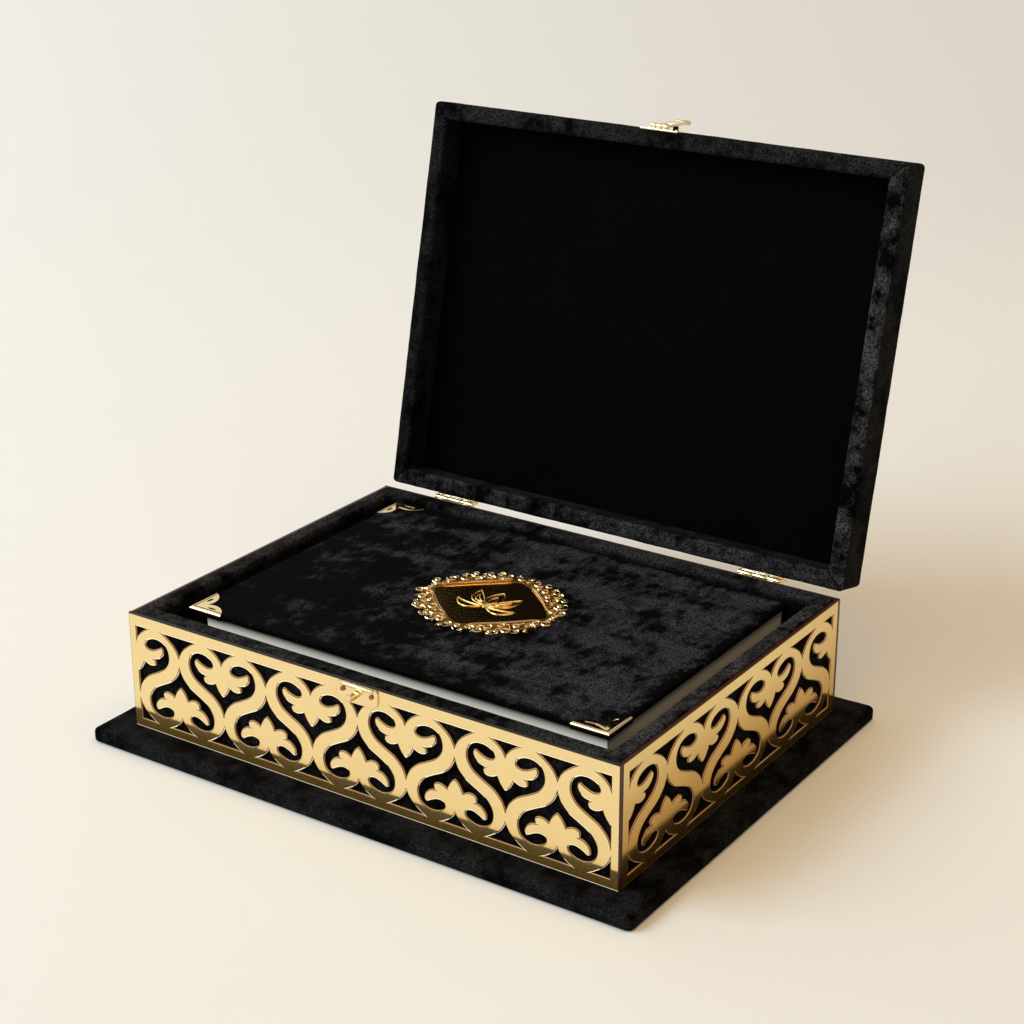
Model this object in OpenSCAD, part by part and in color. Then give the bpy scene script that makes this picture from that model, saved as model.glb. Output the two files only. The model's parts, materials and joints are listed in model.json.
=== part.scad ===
// Velvet book box with pierced gold side panels, a hinged lid and a covered book inside.
// Millimetres, +Z up, front to -Y, origin at the centre of the base's underside.
// The lid is drawn closed and then turned open about its hinge, which is how the part rests.

/* [Book] */
// Width of the book's cover
book_w = 240; // [200:1:300]
// Depth of the book's cover, from the front edge to the spine
book_d = 168; // [140:1:220]
// Thickness of the closed book
book_t = 45; // [30:1:60]
// Thickness of one cover, cloth included
cover_t = 2.6; // [2.4:0.1:6]
// Thickness of the board in the spine
spine_t = 2; // [1:0.1:3]
// How far the pages stand back from the cover's front and right edges
page_inset = 2; // [1:0.5:6]
// How far the pages stand back from the cover's left edge
page_inset_left = 9; // [2:0.5:14]
// Width of the cloth turned in round the inside of each cover
turn_in_w = 14; // [8:1:25]
// Depth of the spine lining behind the pages
spine_lining_t = 1.6; // [0.8:0.1:3]

/* [Book ornaments] */
// Leg length of a metal corner
corner_leg = 19.5; // [14:0.5:28]
// Thickness of the metal of a corner
corner_t = 0.6; // [0.4:0.1:1]
// Width of the medallion over its scrolls
medal_w = 84; // [60:1:110]
// Depth of the medallion over its scrolls
medal_d = 74; // [50:1:100]
// Width of the medallion's scroll border at its left and right
medal_border = 10.5; // [7:0.5:16]
// Height of the medallion's scroll border
medal_h = 3.2; // [2:0.1:6]
// Thickness of the medallion's plate
medal_plate_t = 1; // [0.6:0.1:2]
// Height of the raised lines on the plate
medal_line_h = 0.5; // [0.3:0.1:1]
// Width of the raised lines on the plate
medal_line_w = 0.9; // [0.5:0.1:1.5]
// Width of the raised motif on the plate
medal_motif_w = 36; // [20:1:45]

/* [Box] */
// Gap between the book and the side walls
side_gap = 9.5; // [6:0.5:20]
// Gap between the book and the front wall
front_gap = 12; // [6:0.5:25]
// Gap between the book and the back wall
back_gap = 6; // [5:0.5:20]
// How far the book's cover lies below the rim
book_drop = 0.75; // [0:0.25:5]
// Thickness of the wall boards
board_t = 7; // [4:0.5:10]
// Thickness of the floor board
floor_t = 4.5; // [3:0.5:8]
// Thickness of the foam pad under the book
pad_t = 10; // [4:0.5:20]
// Thickness of the velvet
velvet_t = 0.75; // [0.5:0.05:1.2]
// Side clearance of the pad in the box
pad_clear = 0.3; // [0.1:0.05:1]

/* [Base] */
// How far the base stands out past the gold panels
base_over = 14.5; // [8:0.5:30]
// Thickness of the base board
base_board_t = 5.5; // [3:0.5:12]
// Corner radius of the covered base
base_r = 3.5; // [2:0.5:8]
// Width of the velvet turned under the base
hem_w = 18; // [10:1:40]

/* [Gold panels] */
// Thickness of the gold panels
fret_t = 2; // [1:0.1:3]
// Solid border along the top of a panel
border_top = 6; // [3:0.1:10]
// Solid border along the bottom of a panel
border_bottom = 4.5; // [3:0.1:10]
// Solid border at the ends of the front and back panels
border_front = 4.4; // [3:0.1:10]
// Solid border at the ends of the side panels
border_side = 5.5; // [3:0.1:10]
// Number of lower palmettes on the front and back panels
front_repeats = 5; // [3:1:7]
// Number of lower palmettes on the side panels
side_repeats = 3; // [2:1:5]

/* [Lid] */
// Width of the lid
lid_w = 276.5; // [260:0.5:300]
// How far the lid stands out past the front panel
lid_lip = 3.5; // [0:0.5:6]
// Height of the lid
lid_h = 23; // [19:0.5:40]
// Thickness of the lid's rails
rail_t = 7; // [5:0.5:10]
// Thickness of the lid's top board
lid_board_t = 4; // [3:0.5:6]
// Thickness of the card behind the lid's lining
lining_card_t = 1.5; // [1:0.1:3]
// Corner radius of the covered lid
lid_r = 2.5; // [1:0.5:6]
// Gap between the closed lid and the rim
lid_gap = 0.3; // [0.1:0.1:1]
// How far the lid stands open
lid_open = 102.8; // [95:0.1:115]

/* [Hinges] */
// Distance of each hinge from the middle of the box
hinge_x = 94.5; // [60:0.5:110]
// Length of a hinge
hinge_len = 25; // [20:0.5:40]
// Radius of a hinge knuckle
knuckle_r = 1.5; // [1.5:0.1:2.5]
// Radius of a hinge pin
hinge_pin_r = 0.75; // [0.6:0.05:1.1]
// Running clearance of the pins in their bores
pin_clear = 0.04; // [0.02:0.01:0.1]
// Thickness of a hinge leaf
leaf_t = 0.8; // [0.5:0.1:1]
// Reach of a leaf from the hinge axis
leaf_reach = 9.5; // [8.5:0.1:14]
// Distance of the hinge axis behind the box's back
axis_back = 2; // [1.9:0.05:3]
// Distance of the hinge axis below the rim
axis_drop = 0.2; // [0:0.1:1]

/* [Latch] */
// Sideways place of the latch from the middle of the box
latch_x = 1; // [-20:0.5:20]
// Width of the latch plate on the lid
latch_w = 22; // [18:0.5:30]
// Height of the latch plate on the lid
latch_h = 8; // [7:0.5:12]
// Thickness of the latch's sheet metal
latch_t = 0.8; // [0.5:0.1:1.2]
// Radius of the latch's hinge barrel
barrel_r = 1.5; // [1.2:0.1:2]
// Radius of the latch's hinge pin
latch_pin_r = 0.7; // [0.5:0.05:0.8]
// Length of the hasp from its axis to its rolled end
hasp_len = 22.5; // [18:0.5:30]
// Width of the hasp
hasp_w = 9; // [8:0.5:12]
// How far the hasp is swung up from hanging
hasp_up = 172; // [150:1:176]
// Width of the keeper plate on the box
keeper_w = 23.5; // [20:0.5:30]
// Height of the keeper plate on the box
keeper_h = 9.5; // [8:0.5:14]
// Width of the keeper's hook
hook_w = 3; // [2:0.1:3.4]
// Reach of the keeper's hook from the front panel
hook_reach = 7.2; // [5:0.1:9]
// Depth of the keeper's hook below the rim
hook_drop = 5; // [3:0.1:7]

/* [Fixings] */
// Radius of a screw's or rivet's shank
shank_r = 0.6; // [0.4:0.05:0.8]
// Length of a screw's or rivet's shank in its board
shank_bite = 3.5; // [2:0.1:4]
// Radius of a screw's or rivet's head
head_r = 1.15; // [0.9:0.05:1.3]
// Height of a screw's or rivet's head
head_h = 0.6; // [0.4:0.1:1]
// Clearance of a shank in its hole
shank_clear = 0.05; // [0.02:0.01:0.2]

/* [Hidden] */
$fn = 48;

velvet_black = "#15151a";
board_brown = "#9c7a52";
mirror_gold = "#d9b25f";
brass_gold = "#cfa64a";
page_cream = "#d8d3c2";
felt_black = "#1c1c1c";
foam_grey = "#8d8d8d";
eps = 0.01;
through = 40;

// Heights of the box
base_t = base_board_t + 2 * velvet_t;
wall_z = base_t;
wall_h = floor_t + pad_t + velvet_t + book_t + book_drop;
rim_z = wall_z + wall_h;
floor_top = wall_z + floor_t;
book_z = floor_top + pad_t + velvet_t;

// Plan of the box, from the cavity outwards
cavity_w = book_w + 2 * side_gap;
cavity_d = book_d + front_gap + back_gap;
inner_w = cavity_w + 2 * velvet_t;
inner_d = cavity_d + 2 * velvet_t;
outer_w = inner_w + 2 * board_t;
outer_d = inner_d + 2 * board_t;
sleeve_w = outer_w + 2 * velvet_t;
sleeve_d = outer_d + 2 * velvet_t;
box_w = sleeve_w + 2 * fret_t;
box_d = sleeve_d + 2 * fret_t;
base_w = box_w + 2 * base_over;
base_d = box_d + 2 * base_over;

// Plan and heights of the closed lid
lid_front = -box_d / 2 - lid_lip;
lid_back = box_d / 2;
lid_d = lid_back - lid_front;
lid_mid = (lid_front + lid_back) / 2;
lid_z = rim_z + lid_gap;
rail_w = lid_w - 2 * velvet_t;
rail_d = lid_d - 2 * velvet_t;
rail_z = lid_z + velvet_t;
rail_h = lid_h - 2 * velvet_t - lid_board_t;
lid_board_z = rail_z + rail_h;
hollow_w = rail_w - 2 * rail_t - 2 * velvet_t;
hollow_d = rail_d - 2 * rail_t - 2 * velvet_t;

// Hinge axis and the places of the hinge's pieces from it
axis_y = box_d / 2 + axis_back;
axis_z = rim_z - axis_drop;
leaf_out = leaf_t - axis_back;
leaf_start = knuckle_r;
knuckle_play = 0.2;
knuckle_len = hinge_len / 3;
web_clear = 0.25;
web_reach = leaf_start + 0.8;
stop_gap = 0.05;
stop_start = (knuckle_r + hinge_pin_r) / 2 - 0.15;
stop_reach = 5;
hinge_screw_x = hinge_len / 2 - 4.5;
hinge_screw_z = leaf_reach - head_r - 0.9;

// Latch axis and the places of the latch's pieces from it
barrel_rise = 2.2;
barrel_stand = barrel_r + 0.1;
barrel_y = lid_front - latch_t - barrel_stand;
barrel_z = lid_z + barrel_rise;
barrel_len = 9.6;
barrel_mid_len = 3.6;
barrel_play = 0.15;
hasp_t = 1;
hasp_neck = barrel_r + 0.7;
hook_t = 1.6;
hook_z = rim_z - hook_drop;
slot_w = hook_w + 2;
slot_mid = barrel_z - hook_z;
slot_len = hook_t + 5;
roll_r = 1.3;
roll_bore_r = 0.6;
boss_r = 1.7;
boss_at = hasp_len - 6;
hasp_lean = 180 - hasp_up;
boss_gap = 0.05;
boss_h = (barrel_stand + latch_t + boss_at * sin(hasp_lean)) / cos(hasp_lean)
    - hasp_t / 2 - boss_gap - boss_r * tan(hasp_lean);
rivet_x = latch_w / 2 - 3;
rivet_z = lid_z + latch_h - 2.2;
keeper_top = rim_z - 0.6;
keeper_rivet_x = keeper_w / 2 - 3.5;
keeper_rivet_z = keeper_top - keeper_h * 0.38;
keeper_roll_r = 0.9;

// Places of the book's pieces
book_x0 = -book_w / 2;
book_y0 = -cavity_d / 2 + front_gap;
book_y1 = book_y0 + book_d;
book_top = book_z + book_t;
board_in_cover = cover_t - 2 * velvet_t;
spine_in = book_y1 - velvet_t - spine_t;
pages_x0 = book_x0 + page_inset_left;
pages_x1 = book_x0 + book_w - page_inset;
pages_y0 = book_y0 + page_inset;
pages_y1 = spine_in - spine_lining_t;
pages_z = book_z + cover_t;
pages_h = book_t - 2 * cover_t;
headband_w = 2;

// Medallion outline sizes
medal_lobes = 20;
medal_lobe_share = 0.07;
medal_sharpness = 1.3;
medal_plate_lip = 2;
medal_border_d = medal_border * 1.35;
medal_open_w = medal_w - 2 * medal_border;
medal_open_d = medal_d - 2 * medal_border_d;
medal_x = 0;
medal_y = (book_y0 + book_y1) / 2;

// The pierced pattern is drawn on a field of one pitch by one pattern height
field_w = 54.2;
field_h = 50.5;
curve_steps = 2;
scroll_side = [
    [0, 34.6], [0.9, 32], [2.6, 29], [6.4, 25.4], [12, 22.4], [17, 19.3], [19.9, 15.4], [20.6, 11.4],
    [19.2, 7.2], [15.6, 4.8], [11, 4.5], [6.8, 6.2], [5.4, 8.8], [6.6, 10.6], [9.6, 11], [13, 9.8],
    [15.6, 8.4], [16.9, 9.6], [16.2, 12.2], [13.6, 14.5], [10, 15.3]
];
leaf_lobe = [[10, 15.3], [11.4, 16.3], [11.4, 18], [9.6, 19.1], [7, 19], [4.3, 17.7]];
leaf_tip = [[4.3, 17.7], [3.4, 19.8], [1.9, 22.2], [0, 23.8]];
small_side = [[0, 7.4], [0.9, 5.6], [2.6, 3.6], [5.2, 1.6], [8.2, 0]];
large_side = [[0, 10.8], [1.2, 8.1], [3.3, 5.3], [6.9, 2.4], [10.8, 0]];
corner_lobe = [[20, 0], [18.6, 2.4], [16.4, 4.8], [13.6, 6.6], [10.8, 7.3], [8.4, 7], [6.4, 6.4]];

function blend_point(a, b, c, d, t) =
    0.5 * (2 * b + (c - a) * t + (2 * a - 5 * b + 4 * c - d) * t * t + (3 * b - a - 3 * c + d) * t * t * t);

// Smooth run through the points p, without its last point
function run(p) = [
    for (i = [0 : len(p) - 2], k = [0 : curve_steps - 1])
        blend_point(p[max(i - 1, 0)], p[i], p[i + 1], p[min(i + 2, len(p) - 1)], k / curve_steps)
];
function last(p) = p[len(p) - 1];
function sized(p, sx, sy) = [for (q = p) [q[0] * sx, q[1] * sy]];

// An outline's right half runs from the top of its centre line down to its last point
function half_shape(p) = last(p)[0] > 0 ? concat(p, [[0, last(p)[1]]]) : p;
function left_side(p) = [for (i = [len(p) - 1 : -1 : 1]) if (p[i][0] > 0) [-p[i][0], p[i][1]]];
function whole_shape(p) = concat(p, left_side(p));
function flipped(p) = [for (q = p) [-q[0], q[1]]];

hole_side = concat(run(scroll_side), run(leaf_lobe), run(leaf_tip), [last(leaf_tip)]);
small_gap = concat(run(small_side), [last(small_side)]);
large_gap = concat(run(large_side), [last(large_side)]);

module rounded_rect(w, d, r) {
    square([w - 2 * r, d], center = true);
    square([w, d - 2 * r], center = true);
    for (sx = [-1, 1], sy = [-1, 1])
        translate([sx * (w / 2 - r), sy * (d / 2 - r)])
            circle(r);
}

module slab(w, d, h, z) {
    translate([-w / 2, -d / 2, z])
        cube([w, d, h]);
}

module along_x(r, h, x0) {
    translate([x0, 0, 0])
        rotate([0, 90, 0])
            cylinder(r = r, h = h);
}

// Pieces of the lid are drawn closed and turned open here
module opened() {
    translate([0, axis_y, axis_z])
        rotate([-lid_open, 0, 0])
            translate([0, -axis_y, -axis_z])
                children();
}

// A fixing whose head sits on y = 0 and whose shank points to +Y
module fixing(grip, clear = 0) {
    translate([0, -eps * sign(clear), 0])
        rotate([-90, 0, 0])
            cylinder(r = shank_r + clear, h = grip + (1 + sign(clear)) * eps);
}

module fixing_head() {
    rotate([90, 0, 0])
        difference() {
            cylinder(r = head_r, h = head_h);
            translate([-head_r, -head_h / 4, head_h * 0.6])
                cube([2 * head_r, head_h / 2, head_h]);
        }
}

// Base
module base_board() {
    color(board_brown)
        translate([0, 0, velvet_t])
            linear_extrude(base_board_t)
                rounded_rect(base_w - 2 * velvet_t, base_d - 2 * velvet_t, base_r - velvet_t);
}

module base_velvet() {
    color(velvet_black)
        difference() {
            linear_extrude(base_t)
                rounded_rect(base_w, base_d, base_r);
            translate([0, 0, velvet_t])
                linear_extrude(base_board_t)
                    rounded_rect(base_w - 2 * velvet_t, base_d - 2 * velvet_t, base_r - velvet_t);
            slab(base_w - 2 * hem_w, base_d - 2 * hem_w, velvet_t + 2 * eps, -eps);
        }
}

module base_felt() {
    color(felt_black)
        slab(base_w - 2 * hem_w, base_d - 2 * hem_w, velvet_t, 0);
}

// Walls and floor
module long_wall(side) {
    translate([-outer_w / 2, side * (outer_d - board_t) / 2 - board_t / 2, wall_z])
        cube([outer_w, board_t, wall_h - velvet_t]);
}

module short_wall(side) {
    translate([side * (outer_w - board_t) / 2 - board_t / 2, -inner_d / 2, wall_z])
        cube([board_t, inner_d, wall_h - velvet_t]);
}

module front_wall() {
    color(board_brown)
        difference() {
            long_wall(-1);
            keeper_shanks(shank_clear);
        }
}

module back_wall() {
    color(board_brown)
        difference() {
            long_wall(1);
            box_leaf_shanks(shank_clear);
        }
}

module left_wall() {
    color(board_brown)
        short_wall(-1);
}

module right_wall() {
    color(board_brown)
        short_wall(1);
}

module floor_board() {
    color(board_brown)
        slab(inner_w, inner_d, floor_t, wall_z);
}

// One length of velvet goes up the outside of the walls, over the rim and down inside
module wall_velvet() {
    color(velvet_black)
        difference() {
            slab(sleeve_w, sleeve_d, wall_h, wall_z);
            slab(cavity_w, cavity_d, wall_h, wall_z + eps);
            slab(inner_w, inner_d, floor_t + eps, wall_z - eps);
            difference() {
                slab(outer_w, outer_d, wall_h - velvet_t + eps, wall_z - eps);
                slab(inner_w, inner_d, wall_h + 2 * eps, wall_z - 2 * eps);
            }
            keeper_shanks(shank_clear);
            box_leaf_shanks(shank_clear);
        }
}

module floor_pad() {
    color(foam_grey)
        slab(cavity_w - 2 * pad_clear, cavity_d - 2 * pad_clear, pad_t, floor_top);
}

module floor_velvet() {
    color(velvet_black)
        slab(cavity_w - 2 * pad_clear, cavity_d - 2 * pad_clear, velvet_t, floor_top + pad_t);
}

// Gold panels
module cut(outline) {
    rotate([90, 0, 0])
        translate([0, 0, -fret_t - eps])
            linear_extrude(fret_t + 2 * eps)
                polygon(outline);
}

module cuts_between(side, n, pitch) {
    for (i = [0 : n - 1])
        translate([(i + 0.5) * pitch, 0, 0])
            cut(whole_shape(side));
}

module cuts_on_pitch(side, n, pitch) {
    cut(half_shape(side));
    for (i = [1 : n - 1])
        translate([i * pitch, 0, 0])
            cut(whole_shape(side));
    translate([n * pitch, 0, 0])
        cut(flipped(half_shape(side)));
}

// A panel in the XZ plane from its lower left corner, its face to -Y
module fret(length, border, n) {
    pitch = (length - 2 * border) / n;
    height = wall_h - border_top - border_bottom;
    sx = pitch / field_w;
    sz = height / field_h;
    hole = sized(hole_side, sx, sz);
    small = sized(small_gap, sx, sz);
    large = sized(large_gap, sx, sz);
    difference() {
        cube([length, fret_t, wall_h]);
        translate([border, 0, border_bottom]) {
            cuts_between(hole, n, pitch);
            cuts_between(small, n, pitch);
            cuts_on_pitch(large, n, pitch);
            translate([0, 0, height])
                mirror([0, 0, 1]) {
                    cuts_on_pitch(hole, n, pitch);
                    cuts_on_pitch(small, n, pitch);
                    cuts_between(large, n, pitch);
                }
        }
    }
}

module front_fret() {
    color(mirror_gold)
        difference() {
            translate([-box_w / 2, -box_d / 2, wall_z])
                fret(box_w, border_front, front_repeats);
            keeper_shanks(shank_clear);
        }
}

module back_fret() {
    color(mirror_gold)
        difference() {
            translate([-box_w / 2, sleeve_d / 2, wall_z])
                fret(box_w, border_front, front_repeats);
            box_leaf_shanks(shank_clear);
        }
}

module left_fret() {
    color(mirror_gold)
        translate([-box_w / 2, sleeve_d / 2, wall_z])
            rotate([0, 0, -90])
                fret(sleeve_d, border_side, side_repeats);
}

module right_fret() {
    color(mirror_gold)
        translate([box_w / 2, -sleeve_d / 2, wall_z])
            rotate([0, 0, 90])
                fret(sleeve_d, border_side, side_repeats);
}

// Hinges, drawn about the hinge axis with the lid closed
module at_hinge(side) {
    translate([side * hinge_x, axis_y, axis_z])
        children();
}

module knuckle(i) {
    along_x(knuckle_r, knuckle_len - knuckle_play, -hinge_len / 2 + i * knuckle_len + knuckle_play / 2);
}

module knuckle_web(i, up, clear) {
    translate([
        -hinge_len / 2 + i * knuckle_len + knuckle_play / 2,
        clear - axis_back,
        up ? 0 : -web_reach
    ])
        cube([knuckle_len - knuckle_play, leaf_t - clear, web_reach]);
}

module leaf_plate(up) {
    translate([-hinge_len / 2, -axis_back, up ? leaf_start : -leaf_reach])
        cube([hinge_len, leaf_t, leaf_reach - leaf_start]);
}

// The stop stands behind the fixed knuckles, where the open lid's leaf comes down on it
module hinge_stop(i) {
    rotate([-lid_open, 0, 0])
        translate([-hinge_len / 2 + i * knuckle_len + knuckle_play / 2, leaf_out + stop_gap, stop_start])
            cube([knuckle_len - knuckle_play, -leaf_out, stop_reach - stop_start]);
}

module pin_bore() {
    along_x(hinge_pin_r + pin_clear, 2 * through, -through);
}

module leaf_screw_places(up) {
    for (sx = [-1, 1])
        translate([sx * hinge_screw_x, leaf_out, (up ? 1 : -1) * hinge_screw_z])
            mirror([0, 1, 0])
                children();
}

module hinge_box_leaf(side) {
    color(brass_gold)
        difference() {
            at_hinge(side)
                union() {
                    leaf_plate(false);
                    for (i = [0, 2]) {
                        knuckle(i);
                        knuckle_web(i, false, 0);
                        hinge_stop(i);
                    }
                }
            at_hinge(side)
                pin_bore();
            box_leaf_shanks(shank_clear);
        }
}

module hinge_lid_leaf(side) {
    color(brass_gold)
        opened()
            difference() {
                at_hinge(side)
                    union() {
                        leaf_plate(true);
                        knuckle(1);
                        knuckle_web(1, true, web_clear);
                    }
                at_hinge(side)
                    pin_bore();
                lid_leaf_shanks(shank_clear);
            }
}

module hinge_box_leaf_left() {
    hinge_box_leaf(-1);
}

module hinge_box_leaf_right() {
    hinge_box_leaf(1);
}

module hinge_lid_leaf_left() {
    hinge_lid_leaf(-1);
}

module hinge_lid_leaf_right() {
    hinge_lid_leaf(1);
}

module hinge_pin(side) {
    color(brass_gold)
        at_hinge(side)
            along_x(hinge_pin_r, hinge_len, -hinge_len / 2);
}

module hinge_pin_left() {
    hinge_pin(-1);
}

module hinge_pin_right() {
    hinge_pin(1);
}

module box_leaf_shanks(clear) {
    for (side = [-1, 1])
        at_hinge(side)
            leaf_screw_places(false)
                fixing(leaf_t + fret_t + velvet_t + shank_bite, clear);
}

module lid_leaf_shanks(clear) {
    for (side = [-1, 1])
        at_hinge(side)
            leaf_screw_places(true)
                fixing(leaf_t + velvet_t + shank_bite, clear);
}

module box_leaf_screws() {
    color(brass_gold) {
        box_leaf_shanks(0);
        for (side = [-1, 1])
            at_hinge(side)
                leaf_screw_places(false)
                    fixing_head();
    }
}

module lid_leaf_screws() {
    color(brass_gold)
        opened() {
            lid_leaf_shanks(0);
            for (side = [-1, 1])
                at_hinge(side)
                    leaf_screw_places(true)
                        fixing_head();
        }
}

// Keeper on the front panel
module keeper_rivet_places() {
    for (sx = [-1, 1])
        translate([latch_x + sx * keeper_rivet_x, -box_d / 2 - latch_t, keeper_rivet_z])
            children();
}

module keeper_shanks(clear) {
    keeper_rivet_places()
        fixing(latch_t + fret_t + velvet_t + shank_bite, clear);
}

module keeper_outline() {
    low_r = keeper_h * 0.42;
    high_r = keeper_h * 0.2;
    half = keeper_w / 2;
    translate([-half + low_r, -keeper_h])
        square([keeper_w - 2 * low_r, keeper_h]);
    translate([-half, low_r - keeper_h])
        square([keeper_w, keeper_h - low_r - high_r]);
    translate([-half + high_r, -keeper_h / 2])
        square([keeper_w - 2 * high_r, keeper_h / 2]);
    for (sx = [-1, 1]) {
        translate([sx * (half - low_r), low_r - keeper_h])
            circle(low_r);
        translate([sx * (half - high_r), -high_r])
            circle(high_r);
    }
}

module keeper_plate() {
    hook_lip = 1.2;
    color(brass_gold)
        difference() {
            union() {
                translate([latch_x, -box_d / 2, keeper_top])
                    rotate([90, 0, 0])
                        linear_extrude(latch_t)
                            keeper_outline();
                translate([latch_x, -box_d / 2 - latch_t, keeper_top - keeper_roll_r])
                    intersection() {
                        along_x(keeper_roll_r, keeper_w - 5, 2.5 - keeper_w / 2);
                        translate([-keeper_w / 2, -through, -through / 2])
                            cube([keeper_w, through, through]);
                    }
                translate([latch_x - hook_w / 2, -box_d / 2 - hook_reach, hook_z - hook_t / 2])
                    cube([hook_w, hook_reach - latch_t / 2, hook_t]);
                translate([latch_x - hook_w / 2, -box_d / 2 - hook_reach, hook_z - hook_t / 2])
                    cube([hook_w, hook_t / 2, hook_t + hook_lip]);
            }
            keeper_shanks(shank_clear);
        }
}

module keeper_rivets() {
    color(brass_gold) {
        keeper_shanks(0);
        keeper_rivet_places()
            fixing_head();
    }
}

// Lid
module lid_top_board() {
    color(board_brown)
        opened()
            translate([0, lid_mid, 0])
                slab(rail_w, rail_d, lid_board_t, lid_board_z);
}

module long_rail(side) {
    translate([-rail_w / 2, lid_mid + side * (rail_d - rail_t) / 2 - rail_t / 2, rail_z])
        cube([rail_w, rail_t, rail_h]);
}

module short_rail(side) {
    translate([side * (rail_w - rail_t) / 2 - rail_t / 2, lid_mid - rail_d / 2 + rail_t, rail_z])
        cube([rail_t, rail_d - 2 * rail_t, rail_h]);
}

module lid_front_rail() {
    color(board_brown)
        opened()
            difference() {
                long_rail(-1);
                latch_shanks(shank_clear);
            }
}

module lid_back_rail() {
    color(board_brown)
        opened()
            difference() {
                long_rail(1);
                lid_leaf_shanks(shank_clear);
            }
}

module lid_left_rail() {
    color(board_brown)
        opened()
            short_rail(-1);
}

module lid_right_rail() {
    color(board_brown)
        opened()
            short_rail(1);
}

// Velvet over the top and sides of the lid, round the rim and up inside to the top board
module lid_velvet() {
    color(velvet_black)
        opened()
            difference() {
                translate([0, lid_mid, lid_z])
                    linear_extrude(lid_h)
                        rounded_rect(lid_w, lid_d, lid_r);
                translate([0, lid_mid, 0]) {
                    slab(rail_w, rail_d, lid_board_t, lid_board_z);
                    slab(hollow_w, hollow_d, rail_h + velvet_t + eps, lid_z - eps);
                }
                long_rail(-1);
                long_rail(1);
                short_rail(-1);
                short_rail(1);
                latch_shanks(shank_clear);
                lid_leaf_shanks(shank_clear);
            }
}

module lid_lining_card() {
    color(felt_black)
        opened()
            translate([0, lid_mid, 0])
                slab(
                    hollow_w - 2 * pad_clear,
                    hollow_d - 2 * pad_clear,
                    lining_card_t,
                    lid_board_z - lining_card_t
                );
}

module lid_lining_velvet() {
    color(velvet_black)
        opened()
            translate([0, lid_mid, 0])
                slab(
                    hollow_w - 2 * pad_clear,
                    hollow_d - 2 * pad_clear,
                    velvet_t,
                    lid_board_z - lining_card_t - velvet_t
                );
}

// Latch on the lid
module latch_rivet_places() {
    for (sx = [-1, 1])
        translate([latch_x + sx * rivet_x, lid_front - latch_t, rivet_z])
            children();
}

module latch_shanks(clear) {
    latch_rivet_places()
        fixing(latch_t + velvet_t + shank_bite, clear);
}

module at_barrel() {
    translate([latch_x, barrel_y, barrel_z])
        children();
}

module barrel_part(x0, x1) {
    along_x(barrel_r, x1 - x0, x0);
}

module latch_plate() {
    outer = barrel_len / 2;
    inner = barrel_mid_len / 2 + barrel_play;
    color(brass_gold)
        opened()
            difference() {
                union() {
                    translate([latch_x - latch_w / 2, lid_front - latch_t, lid_z + velvet_t])
                        cube([latch_w, latch_t, latch_h]);
                    for (side = [0, 1])
                        at_barrel()
                            mirror([side, 0, 0]) {
                                barrel_part(inner, outer);
                                translate([inner, 0, -barrel_r * 0.7])
                                    cube([outer - inner, barrel_stand + eps, barrel_r * 1.4]);
                            }
                }
                at_barrel()
                    along_x(latch_pin_r + pin_clear, 2 * through, -through);
                latch_shanks(shank_clear);
            }
}

module latch_rivets() {
    color(brass_gold)
        opened() {
            latch_shanks(0);
            latch_rivet_places()
                fixing_head();
        }
}

module latch_pin() {
    color(brass_gold)
        opened()
            at_barrel()
                along_x(latch_pin_r, barrel_len, -barrel_len / 2);
}

// The hasp is drawn hanging from its axis and swung up
module hasp() {
    roll_len = hasp_w;
    color(brass_gold)
        opened()
            at_barrel()
                rotate([-hasp_up, 0, 0])
                    difference() {
                        union() {
                            barrel_part(-barrel_mid_len / 2, barrel_mid_len / 2);
                            translate([-barrel_mid_len / 2, -hasp_t / 2, -hasp_neck - eps])
                                cube([barrel_mid_len, hasp_t, hasp_neck]);
                            translate([-hasp_w / 2, -hasp_t / 2, -hasp_len])
                                cube([hasp_w, hasp_t, hasp_len - hasp_neck]);
                            translate([0, 0, -hasp_len])
                                along_x(roll_r, roll_len, -roll_len / 2);
                            translate([0, 0, -boss_at])
                                rotate([90, 0, 0])
                                    cylinder(r = boss_r, h = hasp_t / 2 + boss_h);
                        }
                        along_x(latch_pin_r + pin_clear, 2 * through, -through);
                        translate([0, 0, -hasp_len])
                            along_x(roll_bore_r, 2 * through, -through);
                        translate([-slot_w / 2, -hasp_t, -slot_mid - slot_len / 2])
                            cube([slot_w, 2 * hasp_t, slot_len]);
                    }
}

// Book
module cover_board(z) {
    translate([book_x0 + velvet_t, book_y0 + velvet_t, z])
        cube([book_w - 2 * velvet_t, book_d - 2 * velvet_t - spine_t, board_in_cover]);
}

module spine_board_solid() {
    translate([book_x0 + velvet_t, spine_in, book_z + velvet_t])
        cube([book_w - 2 * velvet_t, spine_t, book_t - 2 * velvet_t]);
}

// Inside of a cover, left bare by the turned-in cloth and filled by the endpaper
module endpaper_solid(z) {
    translate([book_x0 + turn_in_w, book_y0 + turn_in_w, z])
        cube([book_w - 2 * turn_in_w, pages_y1 - book_y0 - turn_in_w, velvet_t]);
}

module book_front_board() {
    color(board_brown)
        cover_board(book_top - velvet_t - board_in_cover);
}

module book_back_board() {
    color(board_brown)
        cover_board(book_z + velvet_t);
}

module book_spine_board() {
    color(board_brown)
        spine_board_solid();
}

module book_velvet() {
    color(velvet_black)
        difference() {
            translate([book_x0, book_y0, book_z])
                cube([book_w, book_d, book_t]);
            translate([book_x0 - eps, book_y0 - eps, pages_z])
                cube([book_w + 2 * eps, spine_in - book_y0 + eps, pages_h]);
            cover_board(book_top - velvet_t - board_in_cover);
            cover_board(book_z + velvet_t);
            spine_board_solid();
            endpaper_solid(book_top - cover_t);
            endpaper_solid(pages_z - velvet_t);
        }
}

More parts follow.
